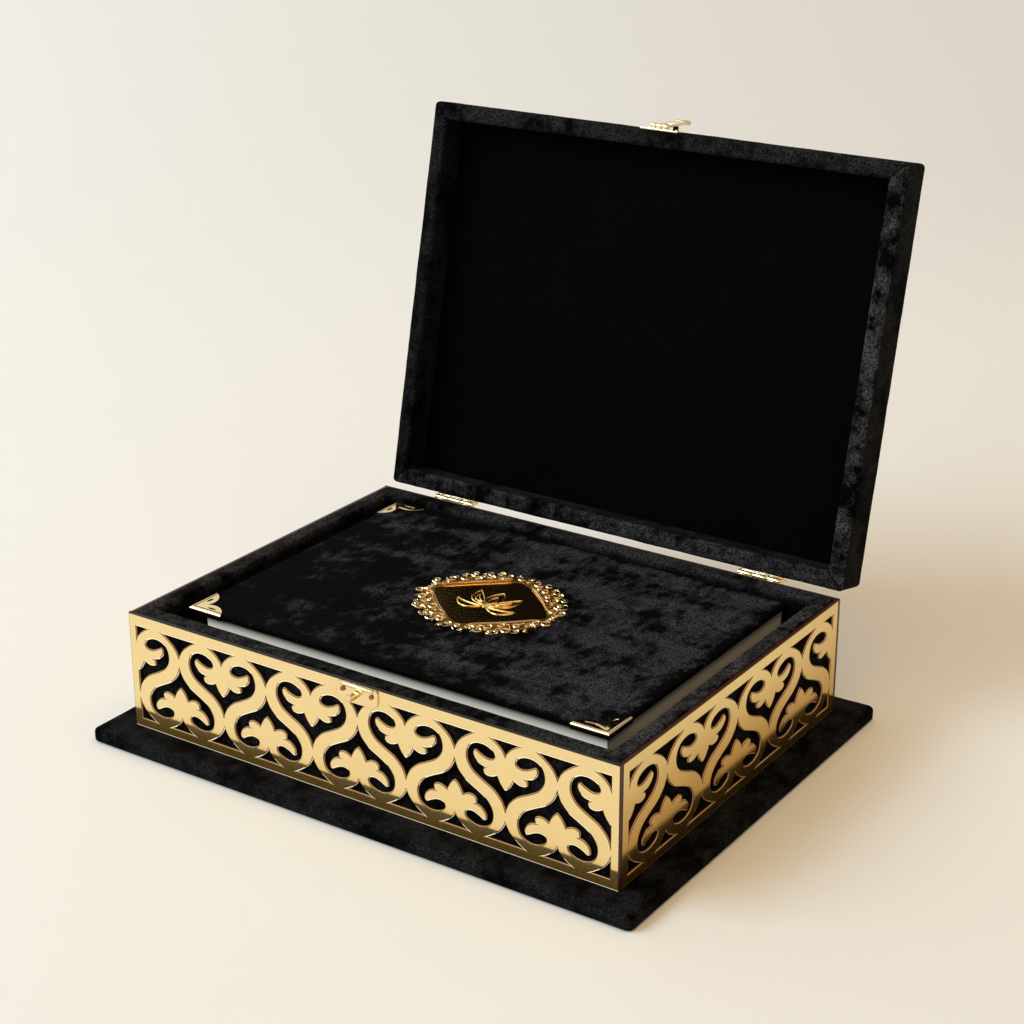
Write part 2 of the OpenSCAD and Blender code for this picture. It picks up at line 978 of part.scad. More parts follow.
module front_endpaper() {
    color(page_cream)
        endpaper_solid(book_top - cover_t);
}

module back_endpaper() {
    color(page_cream)
        endpaper_solid(pages_z - velvet_t);
}

module page_block() {
    color(page_cream)
        translate([pages_x0, pages_y0, pages_z])
            cube([pages_x1 - pages_x0, pages_y1 - pages_y0, pages_h]);
}

module spine_lining() {
    color(page_cream)
        translate([pages_x0 + headband_w, pages_y1, pages_z])
            cube([pages_x1 - pages_x0 - 2 * headband_w, spine_lining_t, pages_h]);
}

module headband(x) {
    color("#b8906a")
        translate([x, pages_y1, pages_z])
            cube([headband_w, spine_lining_t, pages_h]);
}

module headband_left() {
    headband(pages_x0);
}

module headband_right() {
    headband(pages_x1 - headband_w);
}

// A metal corner folded over a cover's edge, drawn at the origin with its legs along +X and +Y
module metal_corner() {
    scale_leg = corner_leg / corner_lobe[0][0];
    lobe = sized(concat(run(corner_lobe), [last(corner_lobe)]), scale_leg, scale_leg);
    other = [for (i = [len(lobe) - 2 : -1 : 0]) [lobe[i][1], lobe[i][0]]];
    fold = [[-corner_t, corner_leg], [-corner_t, -corner_t], [corner_leg, -corner_t]];
    folded_edge = concat(fold, [[corner_leg, 0], [0, 0], [0, corner_leg]]);
    slot_l = 5.6 * scale_leg;
    slot_d = 1.6 * scale_leg;
    slot_at = [11.2 * scale_leg, 3.4 * scale_leg];
    difference() {
        union() {
            linear_extrude(corner_t)
                polygon(concat(lobe, other, fold));
            translate([0, 0, -cover_t])
                linear_extrude(cover_t + corner_t / 2)
                    polygon(folded_edge);
        }
        translate([slot_at[0] - slot_l / 2, slot_at[1] - slot_d / 2, -eps])
            cube([slot_l, slot_d, corner_t + 2 * eps]);
        translate([slot_at[1] - slot_d / 2, slot_at[0] - slot_l / 2, -eps])
            cube([slot_d, slot_l, corner_t + 2 * eps]);
    }
}

module corner_front_left() {
    color(brass_gold)
        translate([book_x0, book_y0, book_top])
            metal_corner();
}

module corner_front_right() {
    color(brass_gold)
        translate([book_x0 + book_w, book_y0, book_top])
            mirror([1, 0, 0])
                metal_corner();
}

module corner_back_left() {
    color(brass_gold)
        translate([book_x0, book_y1, book_top])
            mirror([0, 1, 0])
                metal_corner();
}

// Medallion outlines by formula: a lozenge with rounded sides, and the same with a lobed edge
function bent(v) = sign(v) * pow(abs(v), medal_sharpness);
function lozenge_point(w, d, a) = [w / 2 * bent(cos(a)), d / 2 * bent(sin(a))];
function lozenge(w, d, n) = [for (i = [0 : n - 1]) lozenge_point(w, d, 360 * i / n)];
function lobed_lozenge(w, d, lobes, steps) = [
    for (i = [0 : lobes * steps - 1])
        let (a = 360 * i / (lobes * steps))
            lozenge_point(w, d, a) * (1 - medal_lobe_share * (1 - abs(sin(lobes * a / 2))))
];

module at_medal(z) {
    translate([medal_x, medal_y, book_top + z])
        children();
}

module medal_plate_outline() {
    polygon(lozenge(medal_open_w + 2 * medal_plate_lip, medal_open_d + 2 * medal_plate_lip, 60));
}

module medallion_plate() {
    color(brass_gold)
        at_medal(0)
            linear_extrude(medal_plate_t)
                medal_plate_outline();
}

// Scroll border with an opening over the plate and a rosette in each lobe
module medallion_frame() {
    border_h = medal_h * 0.75;
    rosette_r = 3;
    color(brass_gold)
        at_medal(0)
            difference() {
                union() {
                    linear_extrude(border_h)
                        polygon(lobed_lozenge(medal_w, medal_d, medal_lobes, 6));
                    for (i = [0 : medal_lobes - 1])
                        translate(lozenge_point(
                            medal_w - medal_border,
                            medal_d - medal_border_d,
                            360 * (i + 0.5) / medal_lobes
                        ))
                            cylinder(r = rosette_r, h = medal_h);
                }
                translate([0, 0, -eps])
                    linear_extrude(medal_h + 2 * eps)
                        polygon(lozenge(medal_open_w, medal_open_d, 60));
                translate([0, 0, -eps])
                    linear_extrude(medal_plate_t + eps)
                        medal_plate_outline();
            }
}

// Raised outline of one palmette with its two scrolls, in the middle of the plate
module medallion_lines() {
    side_x = [for (p = hole_side) p[0]];
    side_y = [for (p = hole_side) p[1]];
    motif_scale = medal_motif_w / (2 * max(side_x));
    motif_mid = (max(side_y) + min(side_y)) / 2;
    outline = whole_shape(sized(hole_side, motif_scale, motif_scale));
    color(brass_gold)
        at_medal(medal_plate_t)
            translate([0, -motif_mid * motif_scale, 0])
                linear_extrude(medal_line_h)
                    difference() {
                        polygon(outline);
                        offset(delta = -medal_line_w)
                            polygon(outline);
                    }
}

base_board();
base_velvet();
base_felt();
front_wall();
back_wall();
left_wall();
right_wall();
floor_board();
wall_velvet();
floor_pad();
floor_velvet();
front_fret();
back_fret();
left_fret();
right_fret();
hinge_box_leaf_left();
hinge_box_leaf_right();
hinge_pin_left();
hinge_pin_right();
box_leaf_screws();
keeper_plate();
keeper_rivets();
lid_top_board();
lid_front_rail();
lid_back_rail();
lid_left_rail();
lid_right_rail();
lid_velvet();
lid_lining_card();
lid_lining_velvet();
hinge_lid_leaf_left();
hinge_lid_leaf_right();
lid_leaf_screws();
latch_plate();
latch_rivets();
latch_pin();
hasp();
book_front_board();
book_back_board();
book_spine_board();
book_velvet();
front_endpaper();
back_endpaper();
page_block();
spine_lining();
headband_left();
headband_right();
corner_front_left();
corner_front_right();
corner_back_left();
medallion_plate();
medallion_frame();
medallion_lines();
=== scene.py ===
"""Looks of the velvet book box: velvet, pierced gold panels, gilt fittings and the bound book."""
import json
import random
from math import atan2, ceil, copysign, cos, hypot, pi, radians, sin, tan

import bmesh
import bpy
from mathutils import Matrix, Vector, noise


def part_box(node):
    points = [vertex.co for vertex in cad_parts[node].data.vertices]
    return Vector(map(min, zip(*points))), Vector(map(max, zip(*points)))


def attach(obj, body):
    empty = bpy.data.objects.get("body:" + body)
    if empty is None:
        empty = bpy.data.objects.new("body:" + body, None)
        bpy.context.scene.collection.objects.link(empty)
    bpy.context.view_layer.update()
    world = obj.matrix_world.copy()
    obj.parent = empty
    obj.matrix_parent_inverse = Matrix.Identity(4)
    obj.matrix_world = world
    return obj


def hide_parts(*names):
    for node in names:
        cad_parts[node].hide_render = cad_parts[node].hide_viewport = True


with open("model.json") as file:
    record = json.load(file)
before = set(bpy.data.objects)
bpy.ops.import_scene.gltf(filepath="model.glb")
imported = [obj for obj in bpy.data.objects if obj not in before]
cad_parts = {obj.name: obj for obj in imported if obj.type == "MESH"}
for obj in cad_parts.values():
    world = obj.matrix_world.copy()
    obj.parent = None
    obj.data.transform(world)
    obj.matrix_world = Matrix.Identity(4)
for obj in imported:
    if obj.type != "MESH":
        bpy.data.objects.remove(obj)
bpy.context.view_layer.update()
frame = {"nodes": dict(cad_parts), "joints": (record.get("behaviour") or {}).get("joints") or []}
MM = 0.001

# The lid and its lining are made as they sit when shut, and then turned to where they rest.
joints = {j["name"]: j for j in frame["joints"]}
hinge_at = Vector(joints["lid_hinge"]["pos_m"])
open_angle = radians(joints["lid_hinge"]["range_deg"][1])
OPEN_LID = (
    Matrix.Translation(hinge_at)
    @ Matrix.Rotation(-open_angle, 4, "X")
    @ Matrix.Translation(-hinge_at)
)
SHUT_LID = OPEN_LID.inverted()
SIDES = ("front", "back", "left", "right")


def move_mm(x, y, z):
    return Matrix.Translation((x * MM, y * MM, z * MM))


def box_mm(node):
    """Lowest and highest corner of a CAD node, in mm."""
    low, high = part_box(node)
    return low / MM, high / MM


def shut_box(node):
    """Lowest and highest corner of a lid node with the lid shut, in mm."""
    points = [SHUT_LID @ v.co for v in frame["nodes"][node].data.vertices]
    return [Vector([pick(p[i] for p in points) for i in range(3)]) / MM for pick in (min, max)]


# ---- Mesh helpers ----

def add_object(name, data):
    obj = bpy.data.objects.new(name, data)
    bpy.context.scene.collection.objects.link(obj)
    return obj


def new_mesh(name, points, faces):
    mesh = bpy.data.meshes.new(name)
    mesh.from_pydata([tuple(p) for p in points], [], faces)
    return mesh


def quads(rows, count, loop, ring=True):
    """Faces between rows of points; loop joins the last row to the first, and ring each row's ends."""
    faces = []
    for k in range(rows if loop else rows - 1):
        a, b = k * count, (k + 1) % rows * count
        for j in range(count if ring else count - 1):
            beside = (j + 1) % count
            faces.append((a + j, a + beside, b + beside, b + j))
    return faces


def mesh_object(name, points, faces):
    mesh = new_mesh(name, points, faces)
    tidy_mesh(mesh)
    return add_object(name, mesh)


def open_mesh(*meshes):
    bm = bmesh.new()
    for mesh in meshes:
        bm.from_mesh(mesh)
    return bm


def close_mesh(bm, mesh):
    bm.to_mesh(mesh)
    bm.free()


def tidy_mesh(mesh, gap=1e-6, outward=True):
    """Merges points nearer than the gap, in metres, and can turn the faces outward."""
    bm = open_mesh(mesh)
    bmesh.ops.remove_doubles(bm, verts=bm.verts, dist=gap)
    bmesh.ops.dissolve_degenerate(bm, edges=bm.edges, dist=gap)
    if outward:
        bmesh.ops.recalc_face_normals(bm, faces=bm.faces)
    close_mesh(bm, mesh)


def shade_by_angle(mesh, degrees):
    mesh.shade_smooth()
    bm = open_mesh(mesh)
    limit = radians(degrees)
    for e in bm.edges:
        e.smooth = len(e.link_faces) == 2 and e.calc_face_angle(0) < limit
    close_mesh(bm, mesh)


def evaluated_mesh(obj):
    """New mesh of what an object's modifiers or bevels make of it."""
    depsgraph = bpy.context.evaluated_depsgraph_get()
    return bpy.data.meshes.new_from_object(obj.evaluated_get(depsgraph))


def join_meshes(name, meshes, place):
    bm = open_mesh(*meshes)
    bmesh.ops.recalc_face_normals(bm, faces=bm.faces)
    made = bpy.data.meshes.new(name)
    close_mesh(bm, made)
    made.transform(place)
    if place.determinant() < 0:
        made.flip_normals()
    return add_object(name, made)


def set_material(obj, *materials):
    obj.data.materials.clear()
    for m in materials:
        obj.data.materials.append(m)
    return obj


def hand_over(obj, body, slot, *nodes):
    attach(obj, body)
    if nodes:
        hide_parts(*nodes)


# ---- Outlines and soft surfaces ----

FILLET_STEPS = 6
CORNER_STEPS = 6
# Broad and small waves of a soft surface, as (fineness, share)
WAVES = ((1, 1.0), (2.7, 0.45), (7.1, 0.2))
SEED_SHIFT = (3.7, 1.9, 5.3)


def smooth_run(points, steps):
    """Smooth curve through the points, without the last one."""
    made = []
    last = len(points) - 1
    for i in range(last):
        a, b, c, d = (Vector(points[min(max(k, 0), last)]) for k in (i - 1, i, i + 1, i + 2))
        square = 2 * a - 5 * b + 4 * c - d
        cube = 3 * b - a - 3 * c + d
        for k in range(steps):
            t = k / steps
            made.append(0.5 * (2 * b + (c - a) * t + square * t * t + cube * t ** 3))
    return made


def filleted(corners, step):
    """Open polyline with its inner corners rounded; corners are (inset, height, radius), in mm."""
    made = [Vector(corners[0][:2])]
    for i in range(1, len(corners) - 1):
        before, here, after = (Vector(corners[k][:2]) for k in (i - 1, i, i + 1))
        r = corners[i][2]
        if r <= 0:
            made.append(here)
            continue
        u, v = (before - here).normalized(), (after - here).normalized()
        half = u.angle(v) / 2
        cut = r / tan(half)
        centre = here + (u + v).normalized() * (r / sin(half))
        start, end = here + u * cut - centre, here + v * cut - centre
        turn = start.angle_signed(end)
        for k in range(FILLET_STEPS + 1):
            a = -turn * k / FILLET_STEPS
            c, s = cos(a), sin(a)
            made.append(centre + Vector((start.x * c - start.y * s, start.x * s + start.y * c)))
    made.append(Vector(corners[-1][:2]))
    close = [made[0]]
    for p in made[1:]:
        parts = max(1, ceil((p - close[-1]).length / step))
        start = close[-1]
        close += [start.lerp(p, k / parts) for k in range(1, parts + 1)]
    return close


def round_sweep(name, low, high, corner_r, profile, step=2.5, loop=False):
    """Carries a profile of (inset, height) points round a rectangle with rounded corners, in mm."""
    w, d = high[0] - low[0], high[1] - low[1]
    cx, cy = (high[0] + low[0]) / 2, (high[1] + low[1]) / 2
    across, along = max(2, round(w / step)), max(2, round(d / step))
    stations = []
    for side, count in enumerate((across, along, across, along)):
        stations += [(side, -1 + 2 * k / count, None) for k in range(count + 1)]
        stations += [(side, 1, radians(90 * k / CORNER_STEPS)) for k in range(1, CORNER_STEPS)]

    def place_at(station, inset):
        side, t, turn = station
        r = max(corner_r - inset, 0)
        hw, hd = w / 2 - inset - r, d / 2 - inset - r
        hl, hn = (hw, hd) if side % 2 == 0 else (hd, hw)
        if turn is None:
            p, q = t * hl, -(hn + r)
        else:
            p, q = hl + r * sin(turn), -(hn + r * cos(turn))
        return ((p, q), (-q, p), (-p, -q), (q, -p))[side]

    points = []
    for inset, z in profile:
        for s in stations:
            x, y = place_at(s, inset)
            points.append(((cx + x) * MM, (cy + y) * MM, z * MM))
    return mesh_object(name, points, quads(len(profile), len(stations), loop))


def round_slab(name, low, high, z0, z1, radii, step):
    """Slab between two heights; the radii are its corners', its foot's and its top's, in mm."""
    corner_r, foot_r, top_r = radii
    middle = (high[1] - low[1]) / 2
    profile = filleted([(middle, z0, 0), (0, z0, foot_r), (0, z1, top_r), (middle, z1, 0)], step)
    return round_sweep(name, low, high, corner_r, profile, step)


def ruffle(obj, height, size, seed, keep=None):
    """Lifts and sinks a soft surface along its normals, in broad and in small waves, in mm."""
    mesh = obj.data
    offset = Vector([seed * s for s in SEED_SHIFT])
    moved = []
    for v in mesh.vertices:
        p = v.co / (size * MM) + offset
        lift = sum(share * noise.noise(p * fine) for fine, share in WAVES)
        kept = 1 if keep is None else keep(v.co)
        moved.append(v.co + v.normal * (lift * height * MM * kept))
    for v, p in zip(mesh.vertices, moved):
        v.co = p
    mesh.update()
    mesh.shade_smooth()


def set_painted_light(obj, rule):
    """Share of painted light on the pile at each point: 1 is full brightness, 0 dark; it stands in for sheen
    and shade.
    """
    painted_light = obj.data.attributes.new("painted_light", "FLOAT", "POINT")
    painted_light.data.foreach_set("value", [rule(v.co) for v in obj.data.vertices])
    return obj


# ---- Nodes ----

MIX_FACTOR, MIX_A, MIX_B, MIX_RESULT = 0, 6, 7, 2


def add_group(kind, name, inputs, outputs):
    """New node group, the sockets that it is given, and the node that takes its results."""
    tree = bpy.data.node_groups.new(name, kind)
    for label, socket_kind, value in inputs:
        socket = tree.interface.new_socket(label, in_out="INPUT", socket_type="NodeSocket" + socket_kind)
        if value is not None:
            socket.default_value = value
    for label, socket_kind in outputs:
        tree.interface.new_socket(label, in_out="OUTPUT", socket_type="NodeSocket" + socket_kind)
    return tree, tree.nodes.new("NodeGroupInput").outputs, tree.nodes.new("NodeGroupOutput")


def feed(socket, value):
    """Links a socket to another node's output, or sets it; a colour needs no alpha."""
    if isinstance(value, bpy.types.NodeSocket):
        socket.id_data.links.new(value, socket)
    elif socket.type == "RGBA":
        socket.default_value = (*value, 1)
    else:
        socket.default_value = value


def plug(node, **values):
    """Feeds a node's inputs by their labels, with _ for a space."""
    for label, value in values.items():
        feed(node.inputs[label.replace("_", " ")], value)
    return node


def add_node(tree, kind, **values):
    return plug(tree.nodes.new(kind), **values)


def noise_node(tree, vector, scale, detail, rough=0.5, stretch=None):
    if stretch is not None:
        vector = add_node(tree, "ShaderNodeMapping", Vector=vector, Scale=stretch).outputs["Vector"]
    node = add_node(tree, "ShaderNodeTexNoise", Vector=vector, Scale=scale, Detail=detail, Roughness=rough)
    return node.outputs["Fac"]


def calc(tree, kind, a, b, c=None, clamp=False):
    node = tree.nodes.new("ShaderNodeMath")
    node.operation = kind
    node.use_clamp = clamp
    for socket, value in zip(node.inputs, (a, b, c)):
        if value is not None:
            feed(socket, value)
    return node.outputs[0]


def mix_colour(tree, factor, a, b):
    node = tree.nodes.new("ShaderNodeMix")
    node.data_type = "RGBA"
    for at, value in ((MIX_FACTOR, factor), (MIX_A, a), (MIX_B, b)):
        feed(node.inputs[at], value)
    return node.outputs[MIX_RESULT]


def axis_share(tree, place, axis, start, stop):
    """0 at one place along an axis, in metres, and 1 at the other."""
    parts = add_node(tree, "ShaderNodeSeparateXYZ", Vector=place)
    share = add_node(tree, "ShaderNodeMapRange", Value=parts.outputs[axis], From_Min=start, From_Max=stop)
    return share.outputs["Result"]


# ---- Finishes ----

# Noise as (scale, detail, roughness, stretch), the first two to a patch and the rest to a metre
PATCHES = (1.0, 7, 0.66, (1.0, 1.5, 1.2))
FLECKS = (3.4, 5, 0.62, (1.7, 0.8, 1.2))
PILE_TIPS = (1000, 2, 0.6)
SMEARS = (60, 4, 0.55)
HAIRLINES = (500, 2, 0.5, (1, 1, 0.15))
LEAVES = (60, 4, 0.6, (0.4, 0.4, 40))
PATCH_SHARE, FLECK_SHARE = 0.62, 0.38
BLOTCH_EDGE = 8.0
TIP_GAIN, TIP_START = 5.0, -2.0
TIP_SHARE = 0.86
LEAN_HEIGHT, TIP_HEIGHT = 0.5, 0.3
HAIR_HEIGHT = 0.3
DARK_PILE = (0.0011, 0.0011, 0.0012)
SMEAR_TONE = 0.93
# Depths of the raised grain, in metres
PILE_BUMP, GRAIN_BUMP, PAGE_BUMP, METAL_BUMP, MIRROR_BUMP = 0.0005, 0.0001, 0.0002, 0.00002, 0.000004


def make_nap_group():
    """Crushed velvet: lit pile, blotches where it leans away, and its grain."""
    tree, given, end = add_group(
        "ShaderNodeTree", "velvet_nap",
        [("Vector", "Vector", (0, 0, 0)), ("Lay", "Float", 1.0), ("Patch Size", "Float", 0.03),
         ("Bright", "Color", (0.02, 0.02, 0.024, 1)), ("Blotches", "Float", 0.46)],
        [("Colour", "Color"), ("Height", "Float")],
    )
    place, patch = given["Vector"], given["Patch Size"]
    spread = add_node(tree, "ShaderNodeCombineXYZ", X=patch, Y=patch, Z=patch)
    scaled = tree.nodes.new("ShaderNodeVectorMath")
    scaled.operation = "DIVIDE"
    feed(scaled.inputs[0], place)
    feed(scaled.inputs[1], spread.outputs[0])
    patches = calc(tree, "MULTIPLY", noise_node(tree, scaled.outputs[0], *PATCHES), PATCH_SHARE)
    flecks = calc(tree, "MULTIPLY", noise_node(tree, scaled.outputs[0], *FLECKS), FLECK_SHARE)
    tips = noise_node(tree, place, *PILE_TIPS)
    past = calc(tree, "SUBTRACT", calc(tree, "ADD", patches, flecks), given["Blotches"])
    lean = calc(tree, "MULTIPLY_ADD", past, BLOTCH_EDGE, 0.5, clamp=True)
    grain = calc(tree, "MULTIPLY_ADD", tips, TIP_GAIN, TIP_START, clamp=True)
    share = calc(tree, "MULTIPLY_ADD", grain, TIP_SHARE, 1 - TIP_SHARE)
    bright = calc(tree, "MULTIPLY", calc(tree, "MULTIPLY", lean, given["Lay"]), share)
    colour = mix_colour(tree, bright, DARK_PILE, given["Bright"])
    lean_height = calc(tree, "MULTIPLY", lean, LEAN_HEIGHT)
    tip_height = calc(tree, "MULTIPLY", grain, TIP_HEIGHT)
    plug(end, Colour=colour, Height=calc(tree, "ADD", lean_height, tip_height))
    return tree


def make_marks_group():
    """Fine hairline marks and faint smears on polished metal."""
    tree, given, end = add_group(
        "ShaderNodeTree", "polish_marks",
        [("Vector", "Vector", (0, 0, 0)), ("Low", "Float", 0.08), ("High", "Float", 0.2)],
        [("Roughness", "Float"), ("Height", "Float"), ("Smear", "Float")],
    )
    smear = noise_node(tree, given["Vector"], *SMEARS)
    hair = noise_node(tree, given["Vector"], *HAIRLINES)
    spread = calc(tree, "SUBTRACT", given["High"], given["Low"])
    rough = calc(tree, "ADD", given["Low"], calc(tree, "MULTIPLY", spread, smear))
    height = calc(tree, "ADD", calc(tree, "MULTIPLY", hair, HAIR_HEIGHT), smear)
    plug(end, Roughness=rough, Height=height, Smear=smear)
    return tree


NAP = make_nap_group()
MARKS = make_marks_group()


def new_material(name):
    material = bpy.data.materials.new(name)
    material.use_nodes = True
    tree = material.node_tree
    tree.nodes.clear()
    shader = tree.nodes.new("ShaderNodeBsdfPrincipled")
    add_node(tree, "ShaderNodeOutputMaterial", Surface=shader.outputs[0])
    place = tree.nodes.new("ShaderNodeTexCoord").outputs["Object"]
    return material, tree, shader, place


def add_bump(tree, shader, height, distance):
    bump = add_node(tree, "ShaderNodeBump", Height=height, Distance=distance, Strength=1.0)
    plug(shader, Normal=bump.outputs[0])


def place_group(tree, group, place, **values):
    node = tree.nodes.new("ShaderNodeGroup")
    node.node_tree = group
    plug(node, Vector=place, **values)
    return node


def velvet(name, patch, bright, blotches, sheen, patchy=0.0):
    """Velvet by its painted light: a low share dims the pile, or with patchy spreads the dark blotches."""
    material, tree, shader, place = new_material(name)
    nap = place_group(tree, NAP, place, Patch_Size=patch, Bright=bright, Blotches=blotches)
    painted_light = tree.nodes.new("ShaderNodeAttribute")
    painted_light.attribute_name = "painted_light"
    if patchy > 0:
        threshold = calc(tree, "MULTIPLY_ADD", painted_light.outputs["Fac"], -patchy, blotches + patchy)
        plug(nap, Blotches=threshold)
    else:
        plug(nap, Lay=painted_light.outputs["Fac"])
    plug(shader, Base_Color=nap.outputs["Colour"], Roughness=0.9, Specular_IOR_Level=0.03)
    plug(shader, Sheen_Weight=sheen, Sheen_Roughness=0.22, Sheen_Tint=(0.80, 0.82, 0.90))
    add_bump(tree, shader, nap.outputs["Height"], PILE_BUMP)
    return material


def polished(name, colour, low, high, bump=METAL_BUMP, metallic=1.0, foot=None):
    """Polished metal between two roughnesses; foot is a painted reflection low down, its colour and its two
    heights.
    """
    material, tree, shader, place = new_material(name)
    marks = place_group(tree, MARKS, place, Low=low, High=high)
    deep = tuple(c * SMEAR_TONE for c in colour)
    tone = mix_colour(tree, marks.outputs["Smear"], colour, deep)
    if foot is not None:
        reflected_tone, start, stop = foot
        tone = mix_colour(tree, axis_share(tree, place, "Z", start, stop), reflected_tone, tone)
    plug(shader, Base_Color=tone, Metallic=metallic, Roughness=marks.outputs["Roughness"])
    add_bump(tree, shader, marks.outputs["Height"], bump)
    return material


def grained(name, light, dark, scale, rough, stretch=(1, 1, 1), glow=0.0):
    """Plain material that wanders between two colours."""
    material, tree, shader, place = new_material(name)
    grain = noise_node(tree, place, scale, 4, 0.6, stretch)
    colour = mix_colour(tree, grain, light, dark)
    plug(shader, Base_Color=colour, Roughness=rough)
    if glow > 0:
        plug(shader, Emission_Color=colour, Emission_Strength=glow)
    add_bump(tree, shader, grain, GRAIN_BUMP)
    return material


# Page edges: (start, stop) in mm below the cover for the painted shade and the painted glow, and from the
# front
PAGE_SHADE, PAGE_LIT, PAGE_FRONT = (0.4, 5.0), (1.2, 5.6), (0.8, 0.2)
PAGE_PALE, PAGE_LINE = (0.98, 0.96, 0.87), (0.78, 0.74, 0.64)
# Tone of the painted shade, and the page colour kept low under the painted glow
PAGE_DARK, PAGE_HELD_BACK = (0.07, 0.06, 0.045), (0.46, 0.42, 0.36)


def page_finish():
    """Page edges in fine lines, with painted shade under the cover and a painted glow low in front, standing
    in for the light there.
    """
    low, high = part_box("page_block")
    material, tree, shader, place = new_material("page_edges")
    leaves = noise_node(tree, place, *LEAVES)
    colour = mix_colour(tree, leaves, PAGE_PALE, PAGE_LINE)
    shade = axis_share(tree, place, "Z", *(high[2] - v * MM for v in PAGE_SHADE))
    front = axis_share(tree, place, "Y", *(low[1] + v * MM for v in PAGE_FRONT))
    deep = axis_share(tree, place, "Z", *(high[2] - v * MM for v in PAGE_LIT))
    glow_share = calc(tree, "MULTIPLY", front, deep)
    glow = mix_colour(tree, glow_share, (0, 0, 0), colour)
    held_back = mix_colour(tree, glow_share, colour, PAGE_HELD_BACK)
    tone = mix_colour(tree, shade, PAGE_DARK, held_back)
    plug(shader, Base_Color=tone, Roughness=0.5, Emission_Color=glow, Emission_Strength=0.42)
    add_bump(tree, shader, leaves, PAGE_BUMP)
    return material


VELVET = velvet("black_velvet", 0.034, (0.079, 0.080, 0.090), 0.49, 0.019)
BOOK_VELVET = velvet("book_velvet", 0.028, (0.050, 0.051, 0.069), 0.49, 0.008, patchy=0.11)
# Near-black copy of the velvet for the lid's lining: painted shade, as the lining faces the front and
# catches little sheen
LINING_VELVET = velvet("lining_velvet", 0.045, (0.0018, 0.0018, 0.0021), 0.50, 0.0)
# Painted reflections low on the gold panels, as (colour, start, stop) with heights in metres: the black base
# mirrored in the front and back, the shadowed floor in the sides
FRONT_PAINTED_REFLECTION = ((0.95, 0.55, 0.13), 0.011, 0.021)
SIDE_PAINTED_REFLECTION = ((0.62, 0.34, 0.05), 0.010, 0.056)
# The side panels use a deeper copy of the gold, painted for the darker floor that they reflect
PANEL_GOLD = polished("mirror_gold_sheet", (1.0, 0.785, 0.40), 0.05, 0.12, MIRROR_BUMP, 0.86, FRONT_PAINTED_REFLECTION)
SIDE_GOLD = polished("mirror_gold_side", (1.0, 0.80, 0.36), 0.09, 0.16, MIRROR_BUMP, 0.92, SIDE_PAINTED_REFLECTION)
# Painted shade: a dark brown line on the bevels of the panels and on the edges of the keeper and its rivets
PANEL_PAINTED_SHADE = grained("panel_painted_shade_line", (0.20, 0.075, 0.02), (0.10, 0.035, 0.01), 300, 0.4)
# Painted glint on the bevels of the holes, and on the side panels' lower-facing edges
PANEL_PAINTED_GLINT = grained("panel_painted_glint", (0.80, 0.54, 0.26), (0.66, 0.42, 0.18), 200, 0.35)
# Painted highlight that glows, on the lower-facing edges of the front and back panels
PANEL_PAINTED_HIGHLIGHT = grained("panel_painted_highlight", (1.0, 0.90, 0.68), (1.0, 0.85, 0.60), 200, 0.3, glow=0.6)
PANEL_EDGE = grained("panel_cut_edge", (0.075, 0.017, 0.005), (0.035, 0.008, 0.003), 300, 0.3)
PANEL_TOP = grained("panel_top_edge", (0.016, 0.007, 0.003), (0.008, 0.004, 0.002), 300, 0.6)
GILT = polished("gilt_brass", (1.0, 0.84, 0.55), 0.1, 0.2)
GILT_KEEPER = polished("gilt_keeper", (1.0, 0.79, 0.44), 0.1, 0.2)
GILT_PLATE = polished("gilt_plate", (0.92, 0.62, 0.20), 0.13, 0.2, MIRROR_BUMP)
GILT_RELIEF = polished("gilt_relief", (1.0, 0.75, 0.38), 0.2, 0.32)
# Painted shade: dark gilt for the medallion's backing behind its scrolls and for the keeper's rivets
GILT_PAINTED_SHADE = polished("gilt_painted_shade", (0.42, 0.21, 0.05), 0.3, 0.45)
FELT = grained("base_felt", (0.02, 0.02, 0.02), (0.008, 0.008, 0.008), 700, 0.95)
PAGES = page_finish()
CARD = grained("plain_card", (0.65, 0.60, 0.5), (0.5, 0.46, 0.38), 200, 0.8)
HEADBAND = grained("headband_weave", (0.5, 0.36, 0.22), (0.25, 0.16, 0.09), 200, 0.8, (1, 1, 8))
BOARD = grained("raw_board", (0.5, 0.38, 0.25), (0.4, 0.29, 0.18), 250, 0.85)


# ---- Base, walls and floor ----

# How far the pile stands out past the cloth's nominal face, in mm
PILE = 1.0
# Ruffles as (height in mm, size in mm, seed)
BASE_WAVE, WALL_WAVE, LID_WAVE, LINING_WAVE = (0.16, 16, 1), (0.12, 14, 2), (0.16, 15, 3), (0.1, 30, 4)
COVER_WAVE, SPINE_WAVE = (0.14, 22), (0.08, 20, 7)
# Painted light of the pile on each face: painted shade on the walls and the floor pad, painted sheen on the
# rim, most on the right
BASE_LIGHT, WALL_LIGHT, RIM_LIGHT, RIGHT_RIM_LIGHT, PAD_LIGHT = 0.27, 0.18, 0.55, 0.85, 0.15
RIM_DEPTH, RIM_WIDTH = 3, 16
# Heights in mm over which the cloth comes free of its foot
BASE_STILL, BASE_FREE, WALL_FREE = 0.2, 3, 10
CLOTH_T = 0.7
PAD_CLEAR = 0.3


def make_base():
    low, high = box_mm("base_velvet")
    low, high = low - Vector((PILE, PILE, 0)), high + Vector((PILE, PILE, 0))
    base = round_slab("covered_base", low, high, 0, high[2], (3.5, 1.6, 2.2), 2.5)
    ruffle(base, *BASE_WAVE, lambda p: 0 if p.z < BASE_STILL * MM else min(1, p.z / (BASE_FREE * MM)))
    set_material(set_painted_light(base, lambda p: BASE_LIGHT), VELVET)
    hand_over(base, "box", "velvet", "base_velvet", "base_board")


